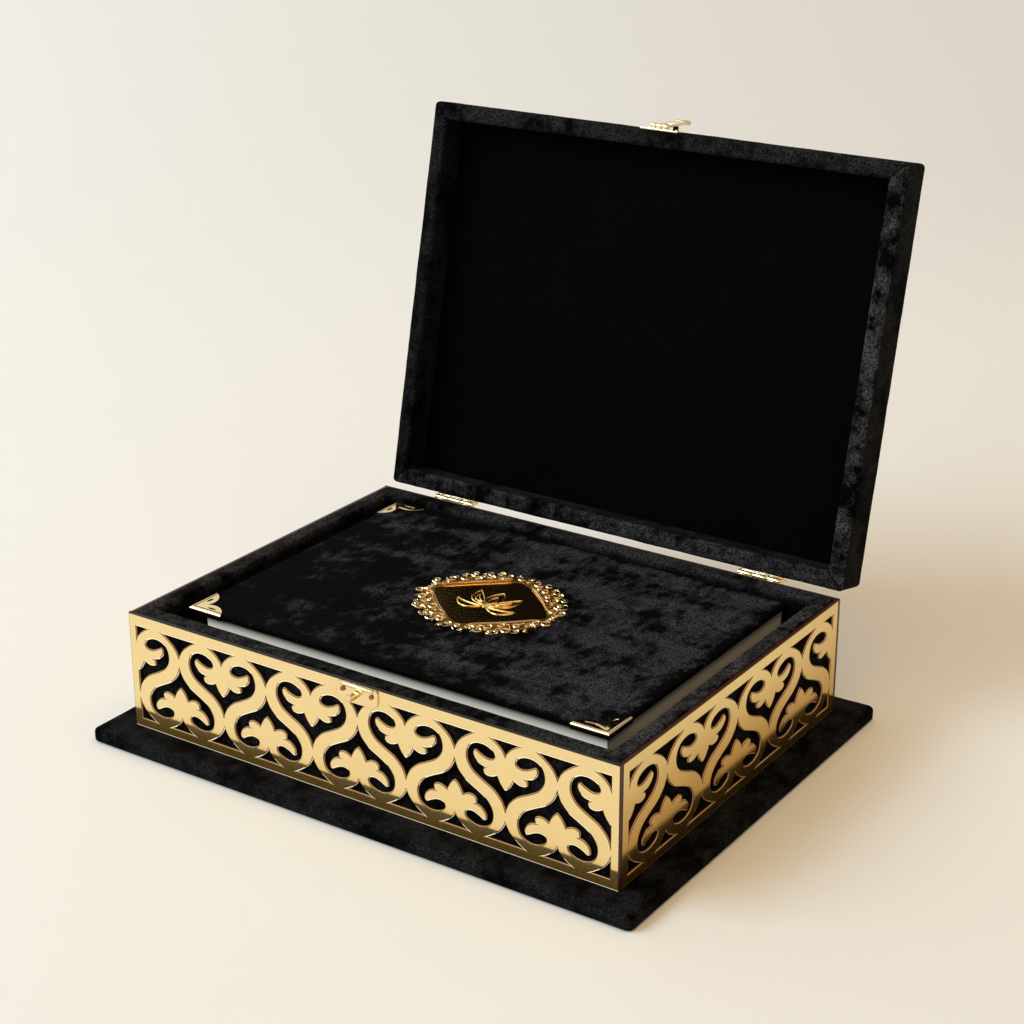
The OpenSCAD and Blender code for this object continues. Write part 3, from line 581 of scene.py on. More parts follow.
def make_walls():
    low, high = box_mm("wall_velvet")
    wall = (high[0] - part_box("floor_pad")[1].x / MM) - PAD_CLEAR
    inner = wall - CLOTH_T
    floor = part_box("floor_board")[1].z / MM
    top = high[2] + PILE / 2
    profile = filleted([
        (0, low[2], 0), (0, top, 1.4), (wall, top, 1.8),
        (wall, floor, 0), (inner, floor, 0), (inner, low[2], 0),
    ], 2.5)
    walls = round_sweep("covered_walls", low, high, 0.8, profile, loop=True)
    ruffle(walls, *WALL_WAVE, lambda p: min(1, max(0, (p.z - low[2] * MM) / (WALL_FREE * MM))))

    def wall_light(p):
        """Painted sheen on the rim, most on the right, and painted shade on the walls below it."""
        if p.z < (high[2] - RIM_DEPTH) * MM:
            return WALL_LIGHT
        return RIGHT_RIM_LIGHT if p.x > (high[0] - RIM_WIDTH) * MM else RIM_LIGHT

    set_material(set_painted_light(walls, wall_light), VELVET)
    boards = [side + "_wall" for side in SIDES]
    hand_over(walls, "box", "velvet", "wall_velvet", *boards)


def make_floor_pad():
    low, high = box_mm("floor_pad")
    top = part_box("floor_velvet")[1].z / MM
    middle = (high[1] - low[1]) / 2
    profile = filleted([
        (middle, low[2], 0), (0.6, low[2], 1), (0, (low[2] + top) / 2, 4),
        (0.8, top, 2.5), (middle, top, 0),
    ], 4)
    pad = round_sweep("floor_pad_covered", low, high, 2, profile, 4)
    for v in pad.data.vertices:
        v.co.z = min(v.co.z, top * MM)
    pad.data.shade_smooth()
    set_material(set_painted_light(pad, lambda p: PAD_LIGHT), VELVET)
    hand_over(pad, "box", "velvet", "floor_pad", "floor_velvet")


# ---- Pierced gold panels ----

# Right halves of the holes in one field, in mm from its foot
SCROLL_SIDE = [
    (0, 34.6), (0.9, 32), (2.6, 29), (6.4, 25.4), (12, 22.4), (17, 19.3), (19.9, 15.4), (20.6, 11.4),
    (19.2, 7.2), (15.6, 4.8), (11, 4.5), (6.8, 6.2), (5.4, 8.8), (6.6, 10.6), (9.6, 11), (13, 9.8),
    (15.6, 8.4), (16.9, 9.6), (16.2, 12.2), (13.6, 14.5), (10, 15.3),
]
LEAF_LOBE = [(10, 15.3), (11.4, 16.3), (11.4, 18), (9.6, 19.1), (7, 19), (4.3, 17.7)]
LEAF_TIP = [(4.3, 17.7), (3.4, 19.8), (1.9, 22.2), (0, 23.8)]
SMALL_SIDE = [(0, 7.4), (0.9, 5.6), (2.6, 3.6), (5.2, 1.6), (8.2, 0)]
LARGE_SIDE = [(0, 10.8), (1.2, 8.1), (3.3, 5.3), (6.9, 2.4), (10.8, 0)]
FIELD_W, FIELD_H = 54.2, 50.5
BORDER_TOP, BORDER_BOTTOM, BORDER_FRONT, BORDER_SIDE = 6.0, 4.5, 4.4, 5.5
FRONT_COUNT, SIDE_COUNT = 5, 3
OUTLINE_STEPS = 7
ON_AXIS = 1e-6


def outline_half(*runs):
    return [p for r in runs for p in smooth_run(r, OUTLINE_STEPS)] + [Vector(runs[-1][-1])]


PALMETTE = outline_half(SCROLL_SIDE, LEAF_LOBE, LEAF_TIP)
SMALL_GAP = outline_half(SMALL_SIDE)
LARGE_GAP = outline_half(LARGE_SIDE)


def whole(half):
    return half + [Vector((-p.x, p.y)) for p in reversed(half[1:]) if p.x > ON_AXIS]


def right_part(half):
    return half + ([Vector((0, half[-1].y))] if half[-1].x > ON_AXIS else [])


def left_part(half):
    return [Vector((-p.x, p.y)) for p in right_part(half)]


def panel_holes(length, height, border, count):
    """Outlines of a panel's holes, from its lower left corner, in mm."""
    pitch = (length - 2 * border) / count
    tall = height - BORDER_TOP - BORDER_BOTTOM
    sx, sy = pitch / FIELD_W, tall / FIELD_H
    holes = []

    def add(shape, at, flip):
        row = []
        for p in shape:
            v = p.y * sy
            row.append((border + at * pitch + p.x * sx, BORDER_BOTTOM + (tall - v if flip else v)))
        holes.append(row)

    for i in range(count):
        add(whole(PALMETTE), i + 0.5, False)
        add(whole(SMALL_GAP), i + 0.5, False)
        add(whole(LARGE_GAP), i + 0.5, True)
    for i in range(count + 1):
        part = right_part if i == 0 else left_part if i == count else whole
        add(part(PALMETTE), i, True)
        add(part(SMALL_GAP), i, True)
        add(part(LARGE_GAP), i, False)
    return holes


def cut_sheet(name, outlines, thick, edge, grow=0.0):
    """Bevelled sheet, cut to its first outline, pierced by the others, all grown a little, in mm."""
    curve = bpy.data.curves.new(name, "CURVE")
    curve.dimensions = "2D"
    curve.fill_mode = "BOTH"
    curve.extrude = (thick / 2 - edge) * MM
    curve.bevel_depth = edge * MM
    curve.bevel_resolution = 1
    curve.offset = (grow - edge) * MM
    for row in outlines:
        spline = curve.splines.new("POLY")
        spline.points.add(len(row) - 1)
        for point, (x, y) in zip(spline.points, row):
            point.co = (x * MM, y * MM, 0, 1)
        spline.use_cyclic_u = True
    holder = add_object(name + "_curve", curve)
    mesh = evaluated_mesh(holder)
    bpy.data.objects.remove(holder)
    tidy_mesh(mesh, 1e-7, outward=False)
    return mesh


# Width of a panel's bevelled edge, and how far it moves into the holes, in mm
CUT_EDGE_W, CUT_GROW = 0.52, 0.22
# Finishes of a panel's faces: the dark line on a bevel's inner step is painted shade, the pale line a
# painted glint, and the bright line on lower-facing edges a painted highlight
GOLD_FACE, DARK_LINE, PALE_LINE, BRIGHT_LINE, CUT_EDGE, TOP_EDGE = range(6)
# Slopes that tell a panel's face, the inner step of its bevel, its wall and its lower edges apart
FACE_SLOPE, STEP_SLOPE, WALL_SLOPE, LOWER_SLOPE = 0.97, 0.6, 0.15, -0.3


def panel_finish(p, length, height, long_side):
    """Which finish a face of a panel has, before the panel is put in its place."""
    if abs(p.normal.z) > FACE_SLOPE:
        return GOLD_FACE
    if height * MM - p.center.y < CUT_EDGE_W * MM:
        return TOP_EDGE if long_side else CUT_EDGE
    if p.normal.z < WALL_SLOPE or min(p.center.x, length * MM - p.center.x) < CUT_EDGE_W * MM:
        return CUT_EDGE
    if p.normal.y < LOWER_SLOPE:
        return BRIGHT_LINE
    return DARK_LINE if p.normal.z > STEP_SLOPE else PALE_LINE


def make_panels():
    for side, turn in (("front", 0), ("right", 90), ("back", 180), ("left", -90)):
        low, high = box_mm(side + "_fret")
        size = high - low
        length, height = max(size[:2]), size[2]
        long_side = side in ("front", "back")
        border, count = (BORDER_FRONT, FRONT_COUNT) if long_side else (BORDER_SIDE, SIDE_COUNT)
        x0, x1, y0, y1 = CUT_GROW, length - CUT_GROW, CUT_GROW, height - CUT_GROW
        outlines = [[(x0, y0), (x1, y0), (x1, y1), (x0, y1)]]
        outlines += panel_holes(length, height, border, count)
        mesh = cut_sheet(side + "_panel", outlines, min(size[:2]), CUT_EDGE_W, CUT_GROW)
        gold, lower_line = (PANEL_GOLD, PANEL_PAINTED_HIGHLIGHT) if long_side else (SIDE_GOLD, PANEL_PAINTED_GLINT)
        finishes = [gold, PANEL_PAINTED_SHADE, PANEL_PAINTED_GLINT, lower_line, PANEL_EDGE, PANEL_TOP]
        panel = set_material(add_object(side + "_panel", mesh), *finishes)
        for p in mesh.polygons:
            p.material_index = panel_finish(p, length, height, long_side)
            p.use_smooth = False
        middle = (low + high) / 2
        place = move_mm(middle[0], middle[1], low[2])
        place = place @ Matrix.Rotation(radians(turn), 4, "Z")
        place = place @ Matrix.Rotation(radians(90), 4, "X")
        mesh.transform(place @ move_mm(-length / 2, 0, 0))
        hand_over(panel, "box", "gold_panel", side + "_fret")


# ---- Lid ----

# Painted sheen on the lid: a share for its top and outer faces, and one for each rail
LID_LIGHT = 0.24
RIGHT_RAIL, LEFT_RAIL, BACK_RAIL, FRONT_RAIL = 1.0, 0.25, 0.75, 0.36
RAIL_FACE, MITRE_SHARE, MITRE_W = 1.5, 0.1, 1.6
LINING_CLEAR = 0.3


def make_lid():
    low, high = shut_box("lid_velvet")
    lining_low, lining_high = shut_box("lid_lining_velvet")
    low, high = low - Vector((PILE / 2, PILE / 2, 0)), high + Vector((PILE / 2, 0, 0))
    rim = lining_low[0] - low[0] - LINING_CLEAR
    middle = (high[1] - low[1]) / 2
    profile = filleted([
        (rim, lining_high[2], 0), (rim, low[2], 2.0), (0, low[2], 2.2),
        (0, high[2], 2.6), (middle, high[2], 0),
    ], 2.2)
    lid = round_sweep("covered_lid", low, high, 2.5, profile, 1.5)
    half = (high - low) / 2
    centre = (high + low) / 2

    def rim_light(p):
        """Painted sheen, a different share on each rail, darker along the mitred folds."""
        x, y = p.x / MM - centre[0], p.y / MM - centre[1]
        if p.z / MM > low[2] + RAIL_FACE:
            return LID_LIGHT
        across, along = half[0] - abs(x), half[1] - abs(y)
        if across < along:
            rail = RIGHT_RAIL if x > 0 else LEFT_RAIL
        else:
            rail = BACK_RAIL if y > 0 else FRONT_RAIL
        return rail * min(1, MITRE_SHARE + abs(across - along) / MITRE_W)

    ruffle(lid, *LID_WAVE)
    set_painted_light(lid, rim_light)
    lid.data.transform(OPEN_LID)
    set_material(lid, VELVET)
    rails = ["lid_%s_rail" % side for side in SIDES]
    hand_over(lid, "lid", "velvet", "lid_velvet", "lid_top_board", *rails)

    deep = (lining_high[1] - lining_low[1]) / 2
    profile = filleted([
        (deep, lining_high[2], 0), (0, lining_high[2], 0.2),
        (0, lining_low[2], 0.5), (deep, lining_low[2] + 0.1, 0),
    ], 3)
    lining = round_sweep("lid_lining", lining_low, lining_high, 1, profile, 3)
    ruffle(lining, *LINING_WAVE)
    lining.data.transform(OPEN_LID)
    set_material(set_painted_light(lining, lambda p: 1.0), LINING_VELVET)
    hand_over(lining, "lid", "velvet", "lid_lining_velvet", "lid_lining_card")


# ---- Book ----

SPINE_LINING_T = 1.6
SPINE_IN, SPINE_BACK_IN = 0.6, 0.05
# The book's underside lies flatter than the rest
UNDER_WAVE, UNDER_T = 0.2, 1
# The cover's pile: width of the darker edge in mm, and painted light that darkens it towards the camera's
# left
EDGE_SHARE, EDGE_START, EDGE_W = 0.06, 0.5, 4.5
LEFT_LIGHT, MIDDLE_LIGHT, LIGHT_SPAN = 0.1, 0.78, 110
CAMERA_RIGHT = (0.83, 0.56)


def make_book():
    low, high = box_mm("book_velvet")
    pages_low, pages_high = box_mm("page_block")
    covers = []
    for name, z0, z1, seed in (
        ("book_upper_cover", pages_high[2], high[2], 5),
        ("book_lower_cover", low[2], pages_low[2], 6),
    ):
        cover = round_slab(name, low, high, z0, z1, (1.8, 1.1, 1.5), 2.2)
        ruffle(cover, *COVER_WAVE, seed, lambda p: UNDER_WAVE if p.z < (low[2] + UNDER_T) * MM else 1)
        covers.append(cover)
    spine_low = Vector((low[0], pages_high[1] + SPINE_LINING_T, low[2] + SPINE_IN))
    spine_high = Vector((high[0], high[1] - SPINE_BACK_IN, high[2] - SPINE_IN))
    ends = spine_low[2], spine_high[2]
    spine = round_slab("book_spine", spine_low, spine_high, *ends, (0.8, 0.6, 0.6), 2.5)
    ruffle(spine, *SPINE_WAVE)

    def cover_light(p):
        """Darker along the cover's edges, and painted light that darkens it towards the camera's left."""
        x, y = p.x / MM, p.y / MM
        inset = min(x - low[0], high[0] - x, y - low[1], high[1] - y)
        across = (CAMERA_RIGHT[0] * p.x + CAMERA_RIGHT[1] * p.y) / MM
        edge = min(1, max(EDGE_SHARE, (inset - EDGE_START) / EDGE_W))
        return edge * min(1, max(LEFT_LIGHT, MIDDLE_LIGHT + across / LIGHT_SPAN))

    for piece in [*covers, spine]:
        set_material(set_painted_light(piece, cover_light), BOOK_VELVET)
        hand_over(piece, "book", "velvet")
    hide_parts("book_velvet", "book_front_board")
    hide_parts("book_back_board")
    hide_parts("book_spine_board")


# ---- Metal fittings of CAD shape ----

BROKEN_ANGLE = 40


def finish_fitting(node, body, edge, metal=GILT, edge_metal=GILT):
    """A fitting's CAD shape with its sharp edges broken by so many mm."""
    mesh = frame["nodes"][node].data.copy()
    mesh.name = node + "_finished"
    tidy_mesh(mesh, 2e-6, outward=False)
    bm = open_mesh(mesh)
    bmesh.ops.dissolve_limit(bm, angle_limit=radians(1), verts=bm.verts, edges=bm.edges)
    close_mesh(bm, mesh)
    obj = set_material(add_object(node + "_finished", mesh), metal, edge_metal)
    bevel = obj.modifiers.new("edge", "BEVEL")
    bevel.width = edge * MM
    bevel.segments = 2
    bevel.material = 1
    bevel.limit_method = "ANGLE"
    bevel.angle_limit = radians(BROKEN_ANGLE)
    made = evaluated_mesh(obj)
    obj.modifiers.clear()
    obj.data = made
    shade_by_angle(made, BROKEN_ANGLE)
    hand_over(obj, body, "brass", node)


def make_fittings():
    for side in ("left", "right"):
        finish_fitting("hinge_box_leaf_" + side, "box", 0.1)
        finish_fitting("hinge_lid_leaf_" + side, "lid", 0.1)
    # Painted shade on the keeper's bevelled edges and on its rivets
    finish_fitting("keeper_plate", "box", 0.3, GILT_KEEPER, PANEL_PAINTED_SHADE)
    finish_fitting("keeper_rivets", "box", 0.25, GILT_PAINTED_SHADE, PANEL_PAINTED_SHADE)
    finish_fitting("latch_plate", "lid", 0.15)
    finish_fitting("latch_rivets", "lid", 0.2)
    finish_fitting("hasp", "hasp", 0.2)


# ---- Metal corners of the book ----

# One edge of a corner plate, from its tip to the notch, for a leg as long as the first number
CORNER_LOBE = [(20, 0), (18.6, 2.4), (16.4, 4.8), (13.6, 6.6), (10.8, 7.3), (8.4, 7), (6.4, 6.4)]
CORNER_T = 0.6
CORNER_EDGE = 0.2
INNER_IN, TIP_IN = 0.9, 1.2
HOLE_FAR, HOLE_NEAR, HOLE_L, HOLE_W = 11.2, 3.5, 5.6, 1.6
FOLD_W, FOLD_R, FOLD_DEPTH = 2.4, 1.5, 1.6
FOLD_TAPER = 0.5


def pointed_oval(length, width, steps):
    """Closed outline of a pointed oval along X, in mm."""
    ts = [-1 + 2 * k / steps for k in range(steps + 1)]
    side = [(length / 2 * t, width / 2 * (1 - t * t)) for t in ts]
    return side + [(x, -y) for x, y in reversed(side[1:-1])]


def make_corner(node, at_right, at_back):
    low, high = box_mm(node)
    leg = high[0] - low[0] - CORNER_T
    drop = high[2] - low[2]
    grow = leg / CORNER_LOBE[0][0]
    run = [(p.x * grow, p.y * grow) for p in smooth_run(CORNER_LOBE, 5)][3:]
    notch = (CORNER_LOBE[-1][0] * grow, CORNER_LOBE[-1][1] * grow)
    outline = run + [notch] + [(y, x) for x, y in reversed(run)]
    outline += [(INNER_IN, leg - TIP_IN), (INNER_IN, INNER_IN), (leg - TIP_IN, INNER_IN)]
    far, near = HOLE_FAR * grow, HOLE_NEAR * grow
    oval = pointed_oval(HOLE_L, HOLE_W, 12)
    holes = [[(far + x, near + y) for x, y in oval], [(near + y, far + x) for x, y in oval]]
    plate = cut_sheet(node + "_plate", [outline, *holes], CORNER_T, CORNER_EDGE)
    plate.transform(move_mm(0, 0, -CORNER_T / 2))

    profile = filleted([(FOLD_W, 0, 0), (0, 0, FOLD_R), (0, -drop, 0)], 0.5)
    profile += [Vector((CORNER_T, -drop)), Vector((CORNER_T, -FOLD_DEPTH)), Vector((FOLD_W, -CORNER_T))]
    points = []
    n = len(profile)
    for p in profile:
        inset = p.x - CORNER_T
        end = leg - FOLD_TAPER * p.x
        points += [Vector((x, y, p.y)) * MM for x, y in ((end, inset), (inset, inset), (inset, end))]
    caps = [tuple(3 * k for k in range(n)), tuple(3 * k + 2 for k in range(n))]
    fold = new_mesh(node + "_fold", points, quads(n, 3, True, ring=False) + caps)

    x, way_x = (high[0] - CORNER_T, -1) if at_right else (low[0] + CORNER_T, 1)
    y, way_y = (high[1] - CORNER_T, -1) if at_back else (low[1] + CORNER_T, 1)
    place = move_mm(x, y, high[2]) @ Matrix.Diagonal((way_x, way_y, 1, 1))
    corner = join_meshes(node + "_finished", [plate, fold], place)
    shade_by_angle(corner.data, 35)
    set_material(corner, GILT_KEEPER)
    hand_over(corner, "book", "brass", node)


# ---- Medallion ----

QUARTERS = ((1, 1), (-1, 1), (-1, -1), (1, -1))
# How full an oval is: 2 is an ellipse, 1 a plain lozenge
OUTER_FULL, INNER_FULL = 1.8, 1.25
# How much the opening is narrower and less deep than the medallion, in mm
OPENING_IN_W, OPENING_IN_D = 17, 16
CURL_SIZES, CURL_TRIES, CURL_SEED = (3.3, 2.8, 2.3, 1.8, 1.4), 900, 8
AXIS_CLEAR, CURL_REACH, OPENING_CLEAR = 0.9, 1.5, 1.2
AXIS_SHARE, NEIGHBOUR_SHARE = 0.85, 0.84
CURL_Z, CURL_TURN, CURL_SWAY, SWAY_STEP = 0.3, 430, 1.9, 2.4
# Brackets round the opening, as (gap, radius), their height, and how far their ends run out, in mm
BRACKETS, BRACKET_Z, BRACKET_ENDS, BRACKET_STEPS = ((0.4, 0.34), (1.6, 0.24)), 1.7, 1.6, 24
BRACKET_FROM, BRACKET_SPAN = 20, 50
BACKING_IN, BACKING_RISE, PLATE_OVER, PLATE_EDGE = 8, 0.1, 2, 0.2
# The leaf motif, as (x, y, length, width, turn, bend) in mm and degrees for a motif of this width
MOTIF_W = 36
MIDDLE_LEAVES = [(0, 3.2, 19, 8.6, 90, 0), (0, 2.2, 10, 3.4, 90, 0)]
SIDE_LEAVES = [(8.2, 1.6, 18.5, 6.2, 40, 2.6), (8.2, 1.2, 10, 2.2, 40, 2.0), (9.6, -7.6, 16.0, 4.6, 82, 3.2)]
MOTIF_LINE_R, MOTIF_Z = 0.3, 0.15


def make_bed_tree():
    """Sets a copy of a small shape at every spot, by the spot's turn and size."""
    tree, given, end = add_group(
        "GeometryNodeTree", "ornament_bed",
        [("Spots", "Geometry", None), ("Shape", "Object", None), ("Size", "Float", 1.0),
         ("Spread", "Float", 0.05), ("Seed", "Int", 1), ("Finish", "Material", None)],
        [("Bed", "Geometry")],
    )

    def kept(label):
        node = add_node(tree, "GeometryNodeInputNamedAttribute", Name=label)
        node.data_type = "FLOAT"
        return node.outputs["Attribute"]

    shape = add_node(tree, "GeometryNodeObjectInfo", Object=given["Shape"])
    turn = add_node(tree, "FunctionNodeAxisAngleToRotation", Axis=(0, 0, 1), Angle=kept("turn"))
    vary = add_node(tree, "FunctionNodeRandomValue", Seed=given["Seed"])
    vary.data_type = "FLOAT"
    ends = [i for i in vary.inputs if i.enabled and i.name in ("Min", "Max")]
    for kind, limit in zip(("SUBTRACT", "ADD"), ends):
        feed(limit, calc(tree, kind, given["Size"], given["Spread"]))
    share = [o for o in vary.outputs if o.enabled][0]
    size = calc(tree, "MULTIPLY", kept("size"), share)
    copies = add_node(
        tree, "GeometryNodeInstanceOnPoints", Points=given["Spots"],
        Instance=shape.outputs["Geometry"], Rotation=turn.outputs["Rotation"], Scale=size,
    )
    real = add_node(tree, "GeometryNodeRealizeInstances", Geometry=copies.outputs["Instances"])
    finish = add_node(
        tree, "GeometryNodeSetMaterial", Geometry=real.outputs["Geometry"], Material=given["Finish"],
    )
    plug(end, Bed=finish.outputs["Geometry"])
    return tree


BED = make_bed_tree()


def set_bed(name, spots, **values):
    """Mesh of the copies set at the spots, which are (x, y, z, turn, size) in mm."""
    mesh = new_mesh(name, [Vector(spot[:3]) * MM for spot in spots], [])
    for label, at in (("turn", 3), ("size", 4)):
        kept = mesh.attributes.new(label, "FLOAT", "POINT")
        kept.data.foreach_set("value", [spot[at] for spot in spots])
    host = add_object(name, mesh)
    bed = host.modifiers.new("bed", "NODES")
    bed.node_group = BED
    for socket in BED.interface.items_tree:
        if socket.in_out == "INPUT" and socket.name in values:
            bed[socket.identifier] = values[socket.name]
    made = evaluated_mesh(host)
    bpy.data.objects.remove(host)
    return made


def tube(points, radii, sides, closed=False):
    """Round rod along points, in mm, with a radius at each of them."""
    rows = []
    count = len(points)
    for k, p in enumerate(points):
        ahead = points[(k + 1) % count] if closed or k + 1 < count else p
        behind = points[k - 1] if closed or k > 0 else p
        way = (Vector(ahead) - Vector(behind)).normalized()
        across = way.cross(Vector((0, 0, 1))).normalized()
        up = across.cross(way)
        for j in range(sides):
            a = 2 * pi * j / sides
            rows.append((Vector(p) + (across * cos(a) + up * sin(a)) * radii[k]) * MM)
    faces = quads(count, sides, closed)
    if not closed:
        faces += [tuple(range(sides)), tuple((count - 1) * sides + j for j in range(sides))]
    return rows, faces


def scroll_shape(hand):
    """One open curl of unit radius, its eye raised, with a short tail, in mm."""
    curl, tail = 12, 2
    points, radii = [], []
    for k in range(curl):
        t = k / (curl - 1)
        turn = radians(-90 - CURL_TURN * (1 - t))
        r = 0.2 + 0.64 * t
        points.append((r * cos(turn), hand * r * sin(turn), 0.5 - 0.2 * t))
        radii.append(0.17 - 0.02 * t)
    for k in range(1, tail + 1):
        t = k / tail
        points.append((0.95 * t, hand * (-0.84 + 0.12 * t), 0.3 - 0.08 * t))
        radii.append(0.15 - 0.06 * t)
    return mesh_object("scroll_shape", *tube(points, radii, 5))


def oval_point(w, d, degrees, full):
    turn = radians(degrees)
    x, y = (copysign(abs(v) ** (2 / full), v) for v in (cos(turn), sin(turn)))
    return Vector((w / 2 * x, d / 2 * y))


def oval_outline(w, d, full, count):
    return [tuple(oval_point(w, d, 360 * k / count, full)) for k in range(count)]


def within_oval(x, y, w, d, full):
    return (abs(x) / (w / 2)) ** full + (abs(y) / (d / 2)) ** full < 1


def pack_scrolls(w, d, open_w, open_d):
    """Curls packed between the opening and the outer oval, in one quarter: (x, y, radius)."""
    dice = random.Random(CURL_SEED)
    curls = []
    for r in CURL_SIZES:
        reach = CURL_REACH * r
        clear = reach + OPENING_CLEAR
        for _ in range(CURL_TRIES):
            x, y = dice.uniform(AXIS_CLEAR, w / 2), dice.uniform(AXIS_CLEAR, d / 2)
            if not within_oval(x, y, w - reach, d - reach, OUTER_FULL):
                continue
            if within_oval(x, y, open_w + clear, open_d + clear, INNER_FULL):
                continue
            if min(x, y) < AXIS_SHARE * r:
                continue
            if any(hypot(x - cx, y - cy) < NEIGHBOUR_SHARE * (r + cr) for cx, cy, cr in curls):
                continue
            curls.append((x, y, r))
    return curls


def make_scrolls(w, d, open_w, open_d, place):
    """The medallion's relief: curls in four mirrored quarters, and brackets round the opening."""
    spots = {1: [], -1: []}
    for k, (x, y, r) in enumerate(pack_scrolls(w, d, open_w, open_d)):
        lean = atan2(w * y, -d * x) - pi / 2 + CURL_SWAY * sin(SWAY_STEP * k)
        for sx, sy in QUARTERS:
            turn = lean if sx > 0 else pi - lean
            hand = sx * sy * (1 if k % 3 else -1)
            spots[hand].append((sx * x, sy * y, CURL_Z, turn if sy > 0 else -turn, r))
    parts = []
    for hand, row in spots.items():
        shape = scroll_shape(hand)
        parts.append(set_bed(
            "scrolls", row, Shape=shape, Size=1.0, Spread=0.04, Seed=3, Finish=GILT_RELIEF,
        ))
        bpy.data.objects.remove(shape)
    half = BRACKET_STEPS / 2
    steps = range(BRACKET_STEPS + 1)
    for sx, sy in QUARTERS:
        for gap, thick in BRACKETS:
            path = []
            for k in steps:
                degrees = BRACKET_FROM + BRACKET_SPAN * k / BRACKET_STEPS
                p = oval_point(open_w + 2 * gap, open_d + 2 * gap, degrees, INNER_FULL)
                out = abs(k / half - 1) ** 6 * BRACKET_ENDS
                x, y = p.x + out * (k < half), p.y + out * (k > half)
                path.append(Vector((sx * x, sy * y, BRACKET_Z)))
            radii = [thick * (0.6 + 0.4 * sin(pi * k / BRACKET_STEPS)) for k in steps]
            parts.append(new_mesh("bracket", *tube(path, radii, 6)))
    relief = join_meshes("medallion_scrolls", parts, place)
    shade_by_angle(relief.data, 50)
    set_material(relief, GILT_RELIEF)
    hand_over(relief, "book", "brass")


def make_plate(name, node, outlines, thick, metal, place):
    sheet = cut_sheet(name, outlines, thick, PLATE_EDGE)
    sheet.transform(move_mm(0, 0, thick / 2))
    plate = set_material(join_meshes(name, [sheet], place), metal)
    hand_over(plate, "book", "brass", node)


def leaf_outline(cx, cy, length, width, turn, bend):
    """Closed outline of a pointed leaf, bent to one side, in mm."""
    made = []
    c, s = cos(turn), sin(turn)
    for x, y in pointed_oval(length, width, 14):
        y += bend * (2 * x / length) ** 2
        made.append((cx + x * c - y * s, cy + x * s + y * c, MOTIF_Z))
    return made


def make_motif(centre):
    """Leaves in raised outline, a plain ornament in the place of the writing."""
    low, high = box_mm("medallion_lines")
    grow = (high[0] - low[0]) / MOTIF_W
    leaves = list(MIDDLE_LEAVES)
    for side in (1, -1):
        for cx, cy, length, width, turn, bend in SIDE_LEAVES:
            leaves.append((side * cx, cy, length, width, 90 - side * turn, side * bend))
    wires = []
    for cx, cy, length, width, turn, bend in leaves:
        sizes = (cx * grow, cy * grow, length * grow, width * grow)
        path = leaf_outline(*sizes, radians(turn), bend * grow)
        wires.append(new_mesh("leaf_line", *tube(path, [MOTIF_LINE_R] * len(path), 5, True)))
    place = move_mm(centre[0], centre[1], low[2])
    motif = join_meshes("medallion_motif", wires, place)
    motif.data.shade_smooth()
    set_material(motif, GILT_RELIEF)
    hand_over(motif, "book", "brass", "medallion_lines")


def make_medallion():
    low, high = box_mm("medallion_frame")
    plate_low, plate_high = box_mm("medallion_plate")
    centre = (low + high) / 2
    w, d = high[0] - low[0], high[1] - low[1]
    open_w, open_d = w - OPENING_IN_W, d - OPENING_IN_D
    thick = plate_high[2] - plate_low[2]
    place = move_mm(centre[0], centre[1], low[2])
    make_scrolls(w, d, open_w, open_d, place)
    ring = [
        oval_outline(w - BACKING_IN, d - BACKING_IN, OUTER_FULL, 96),
        oval_outline(open_w, open_d, INNER_FULL, 96),
    ]
    make_plate("medallion_backing", "medallion_frame", ring, thick + BACKING_RISE, GILT_PAINTED_SHADE, place)
    ground = [oval_outline(open_w + PLATE_OVER, open_d + PLATE_OVER, INNER_FULL, 120)]
    make_plate("medallion_ground", "medallion_plate", ground, thick, GILT_PLATE, place)
    make_motif(centre)


def dress_plain_nodes():
    """Finishes for the nodes that show as they are in CAD."""
    for material, names in (
        (GILT, "hinge_pin_left hinge_pin_right box_leaf_screws lid_leaf_screws latch_pin"),
        (CARD, "front_endpaper back_endpaper spine_lining"), (HEADBAND, "headband_left headband_right"),
        (FELT, "base_felt"), (BOARD, "floor_board"), (PAGES, "page_block"),
    ):
        for node in names.split():
            set_material(frame["nodes"][node], material)


make_base()
make_walls()
make_floor_pad()
make_panels()
make_lid()
make_book()
make_fittings()
make_corner("corner_front_left", False, False)
make_corner("corner_front_right", True, False)
make_corner("corner_back_left", False, True)
make_medallion()
dress_plain_nodes()


# ---- Studio ----

# The studio stands square to the camera; its sizes are in metres
HEADING = Matrix.Rotation(radians(34.16), 4, "Z")
HALF_W, PAPER_FRONT, PAPER_FLOOR, BEND_R, PAPER_TOP = 5, -4.0, 1.1, 0.8, 4.0
BEND_STEPS = 10
PAPER_DROP = 0.0001
PAPER_TONES = ((0.875, 0.865, 0.86), (0.86, 0.85, 0.845))
LIGHT_AIM = Vector((0, 0, 0.1))


def make_paper():
    """Seamless paper that runs back along the floor and bends up behind."""
    material, tree, shader, place = new_material("studio_paper")
    tone = mix_colour(tree, noise_node(tree, place, 3, 2), *PAPER_TONES)
    plug(shader, Base_Color=tone, Roughness=0.9, Specular_IOR_Level=0.1)
    rows = [(PAPER_FRONT, 0), (PAPER_FLOOR, 0)]
    for k in range(1, BEND_STEPS + 1):
        a = radians(90 / BEND_STEPS * k)
        rows.append((PAPER_FLOOR + BEND_R * sin(a), BEND_R - BEND_R * cos(a)))
    rows.append((PAPER_FLOOR + BEND_R, PAPER_TOP))
    points = []
    for y, z in rows:
        points += [HEADING @ Vector((x, y, z - PAPER_DROP)) for x in (-HALF_W, HALF_W)]
    paper = mesh_object("studio_paper", points, quads(len(rows), 2, False, ring=False))
    paper.data.shade_smooth()
    set_material(paper, material)


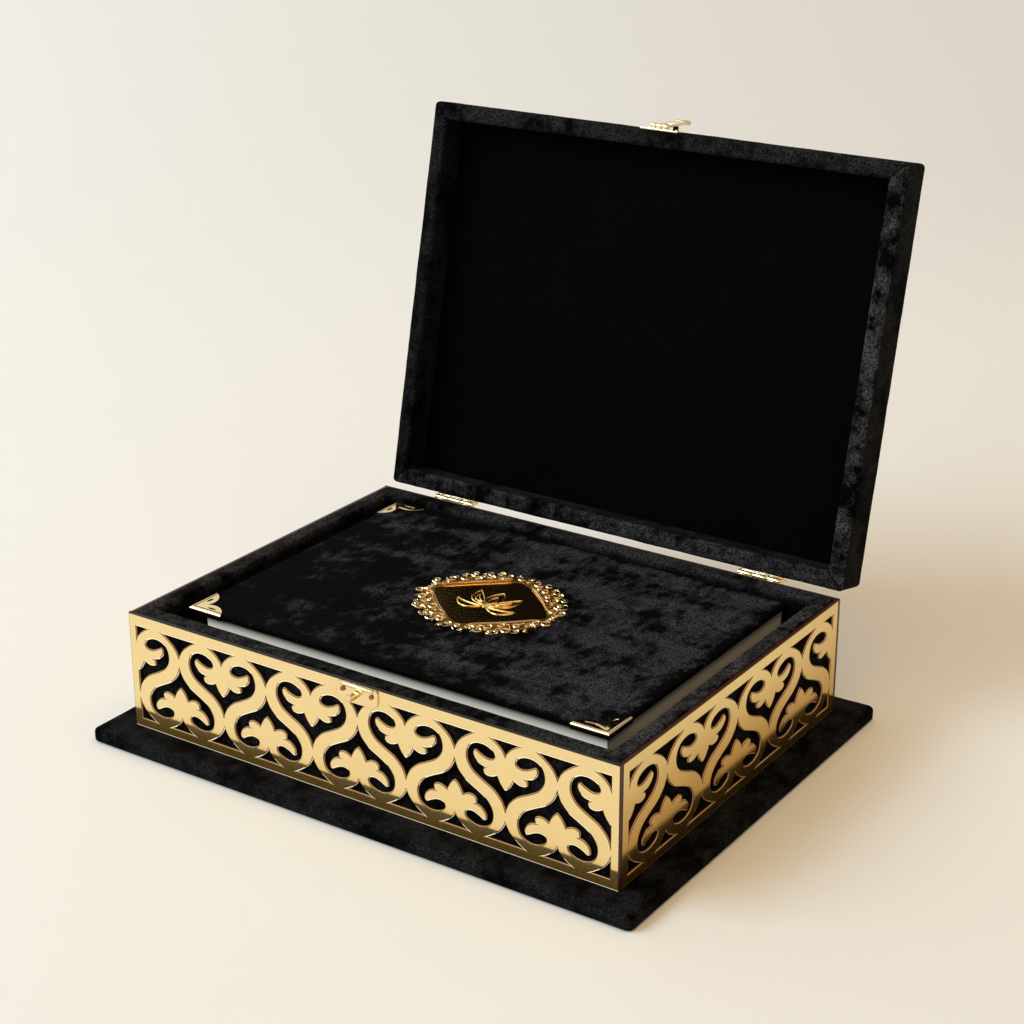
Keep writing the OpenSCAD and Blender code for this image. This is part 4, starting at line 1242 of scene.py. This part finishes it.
def add_softbox(name, at, size, power, colour):
    light = bpy.data.lights.new(name, "AREA")
    light.shape = "RECTANGLE"
    light.size, light.size_y = size
    light.energy = power
    light.color = colour
    obj = add_object(name, light)
    obj.location = HEADING @ Vector(at)
    obj.rotation_mode = "QUATERNION"
    obj.rotation_quaternion = (LIGHT_AIM - obj.location).to_track_quat("-Z", "Y")


def make_lights():
    world = bpy.data.worlds.new("studio_light")
    bpy.context.scene.world = world
    world.use_nodes = True
    plug(world.node_tree.nodes["Background"], Color=(1.0, 0.9, 0.745), Strength=0.365)
    add_softbox("window_softbox", (-2.85, -0.35, 2.4), (2.1, 1.9), 87, (0.66, 0.85, 0.97))
    add_softbox("front_softbox", (-1.92, -1.34, 1.35), (1.0, 1.0), 8, (0.95, 0.95, 0.92))
    add_softbox("ceiling_softbox", (0.41, -0.34, 2.13), (1.3, 1.3), 15.6, (1.0, 0.64, 0.23))
    add_softbox("back_softbox", (-2.2, 1.6, 0.75), (1.2, 0.8), 12, (1.0, 0.93, 0.82))


# The camera as fitted to the photograph: turns in degrees, place in mm, lens on a 36 mm sensor
AZIMUTH, ELEVATION, ROLL = 34.161, 21.686, -0.128
CAMERA_TARGET, CAMERA_DISTANCE = (4.131, 16.131, 112.542), 1043.324
LENS, SENSOR = 75.54, 36


def make_camera():
    azimuth, elevation, roll = (radians(v) for v in (AZIMUTH, ELEVATION, ROLL))
    flat = cos(elevation)
    back = Vector((sin(azimuth) * flat, -cos(azimuth) * flat, sin(elevation)))
    right = Vector((cos(azimuth), sin(azimuth), 0))
    up = back.cross(right)
    c, s = cos(roll), sin(roll)
    right, up = c * right + s * up, -s * right + c * up
    lens = bpy.data.cameras.new("camera")
    lens.sensor_width = SENSOR
    lens.lens = LENS
    lens.clip_start, lens.clip_end = 0.05, 50
    camera = add_object("camera", lens)
    turn = Matrix((right, up, back)).transposed().to_4x4()
    target = Vector(CAMERA_TARGET) * MM
    camera.matrix_world = Matrix.Translation(target + back * CAMERA_DISTANCE * MM) @ turn
    bpy.context.scene.camera = camera


make_paper()
make_lights()
make_camera()
bpy.context.scene.view_settings.view_transform = "Standard"
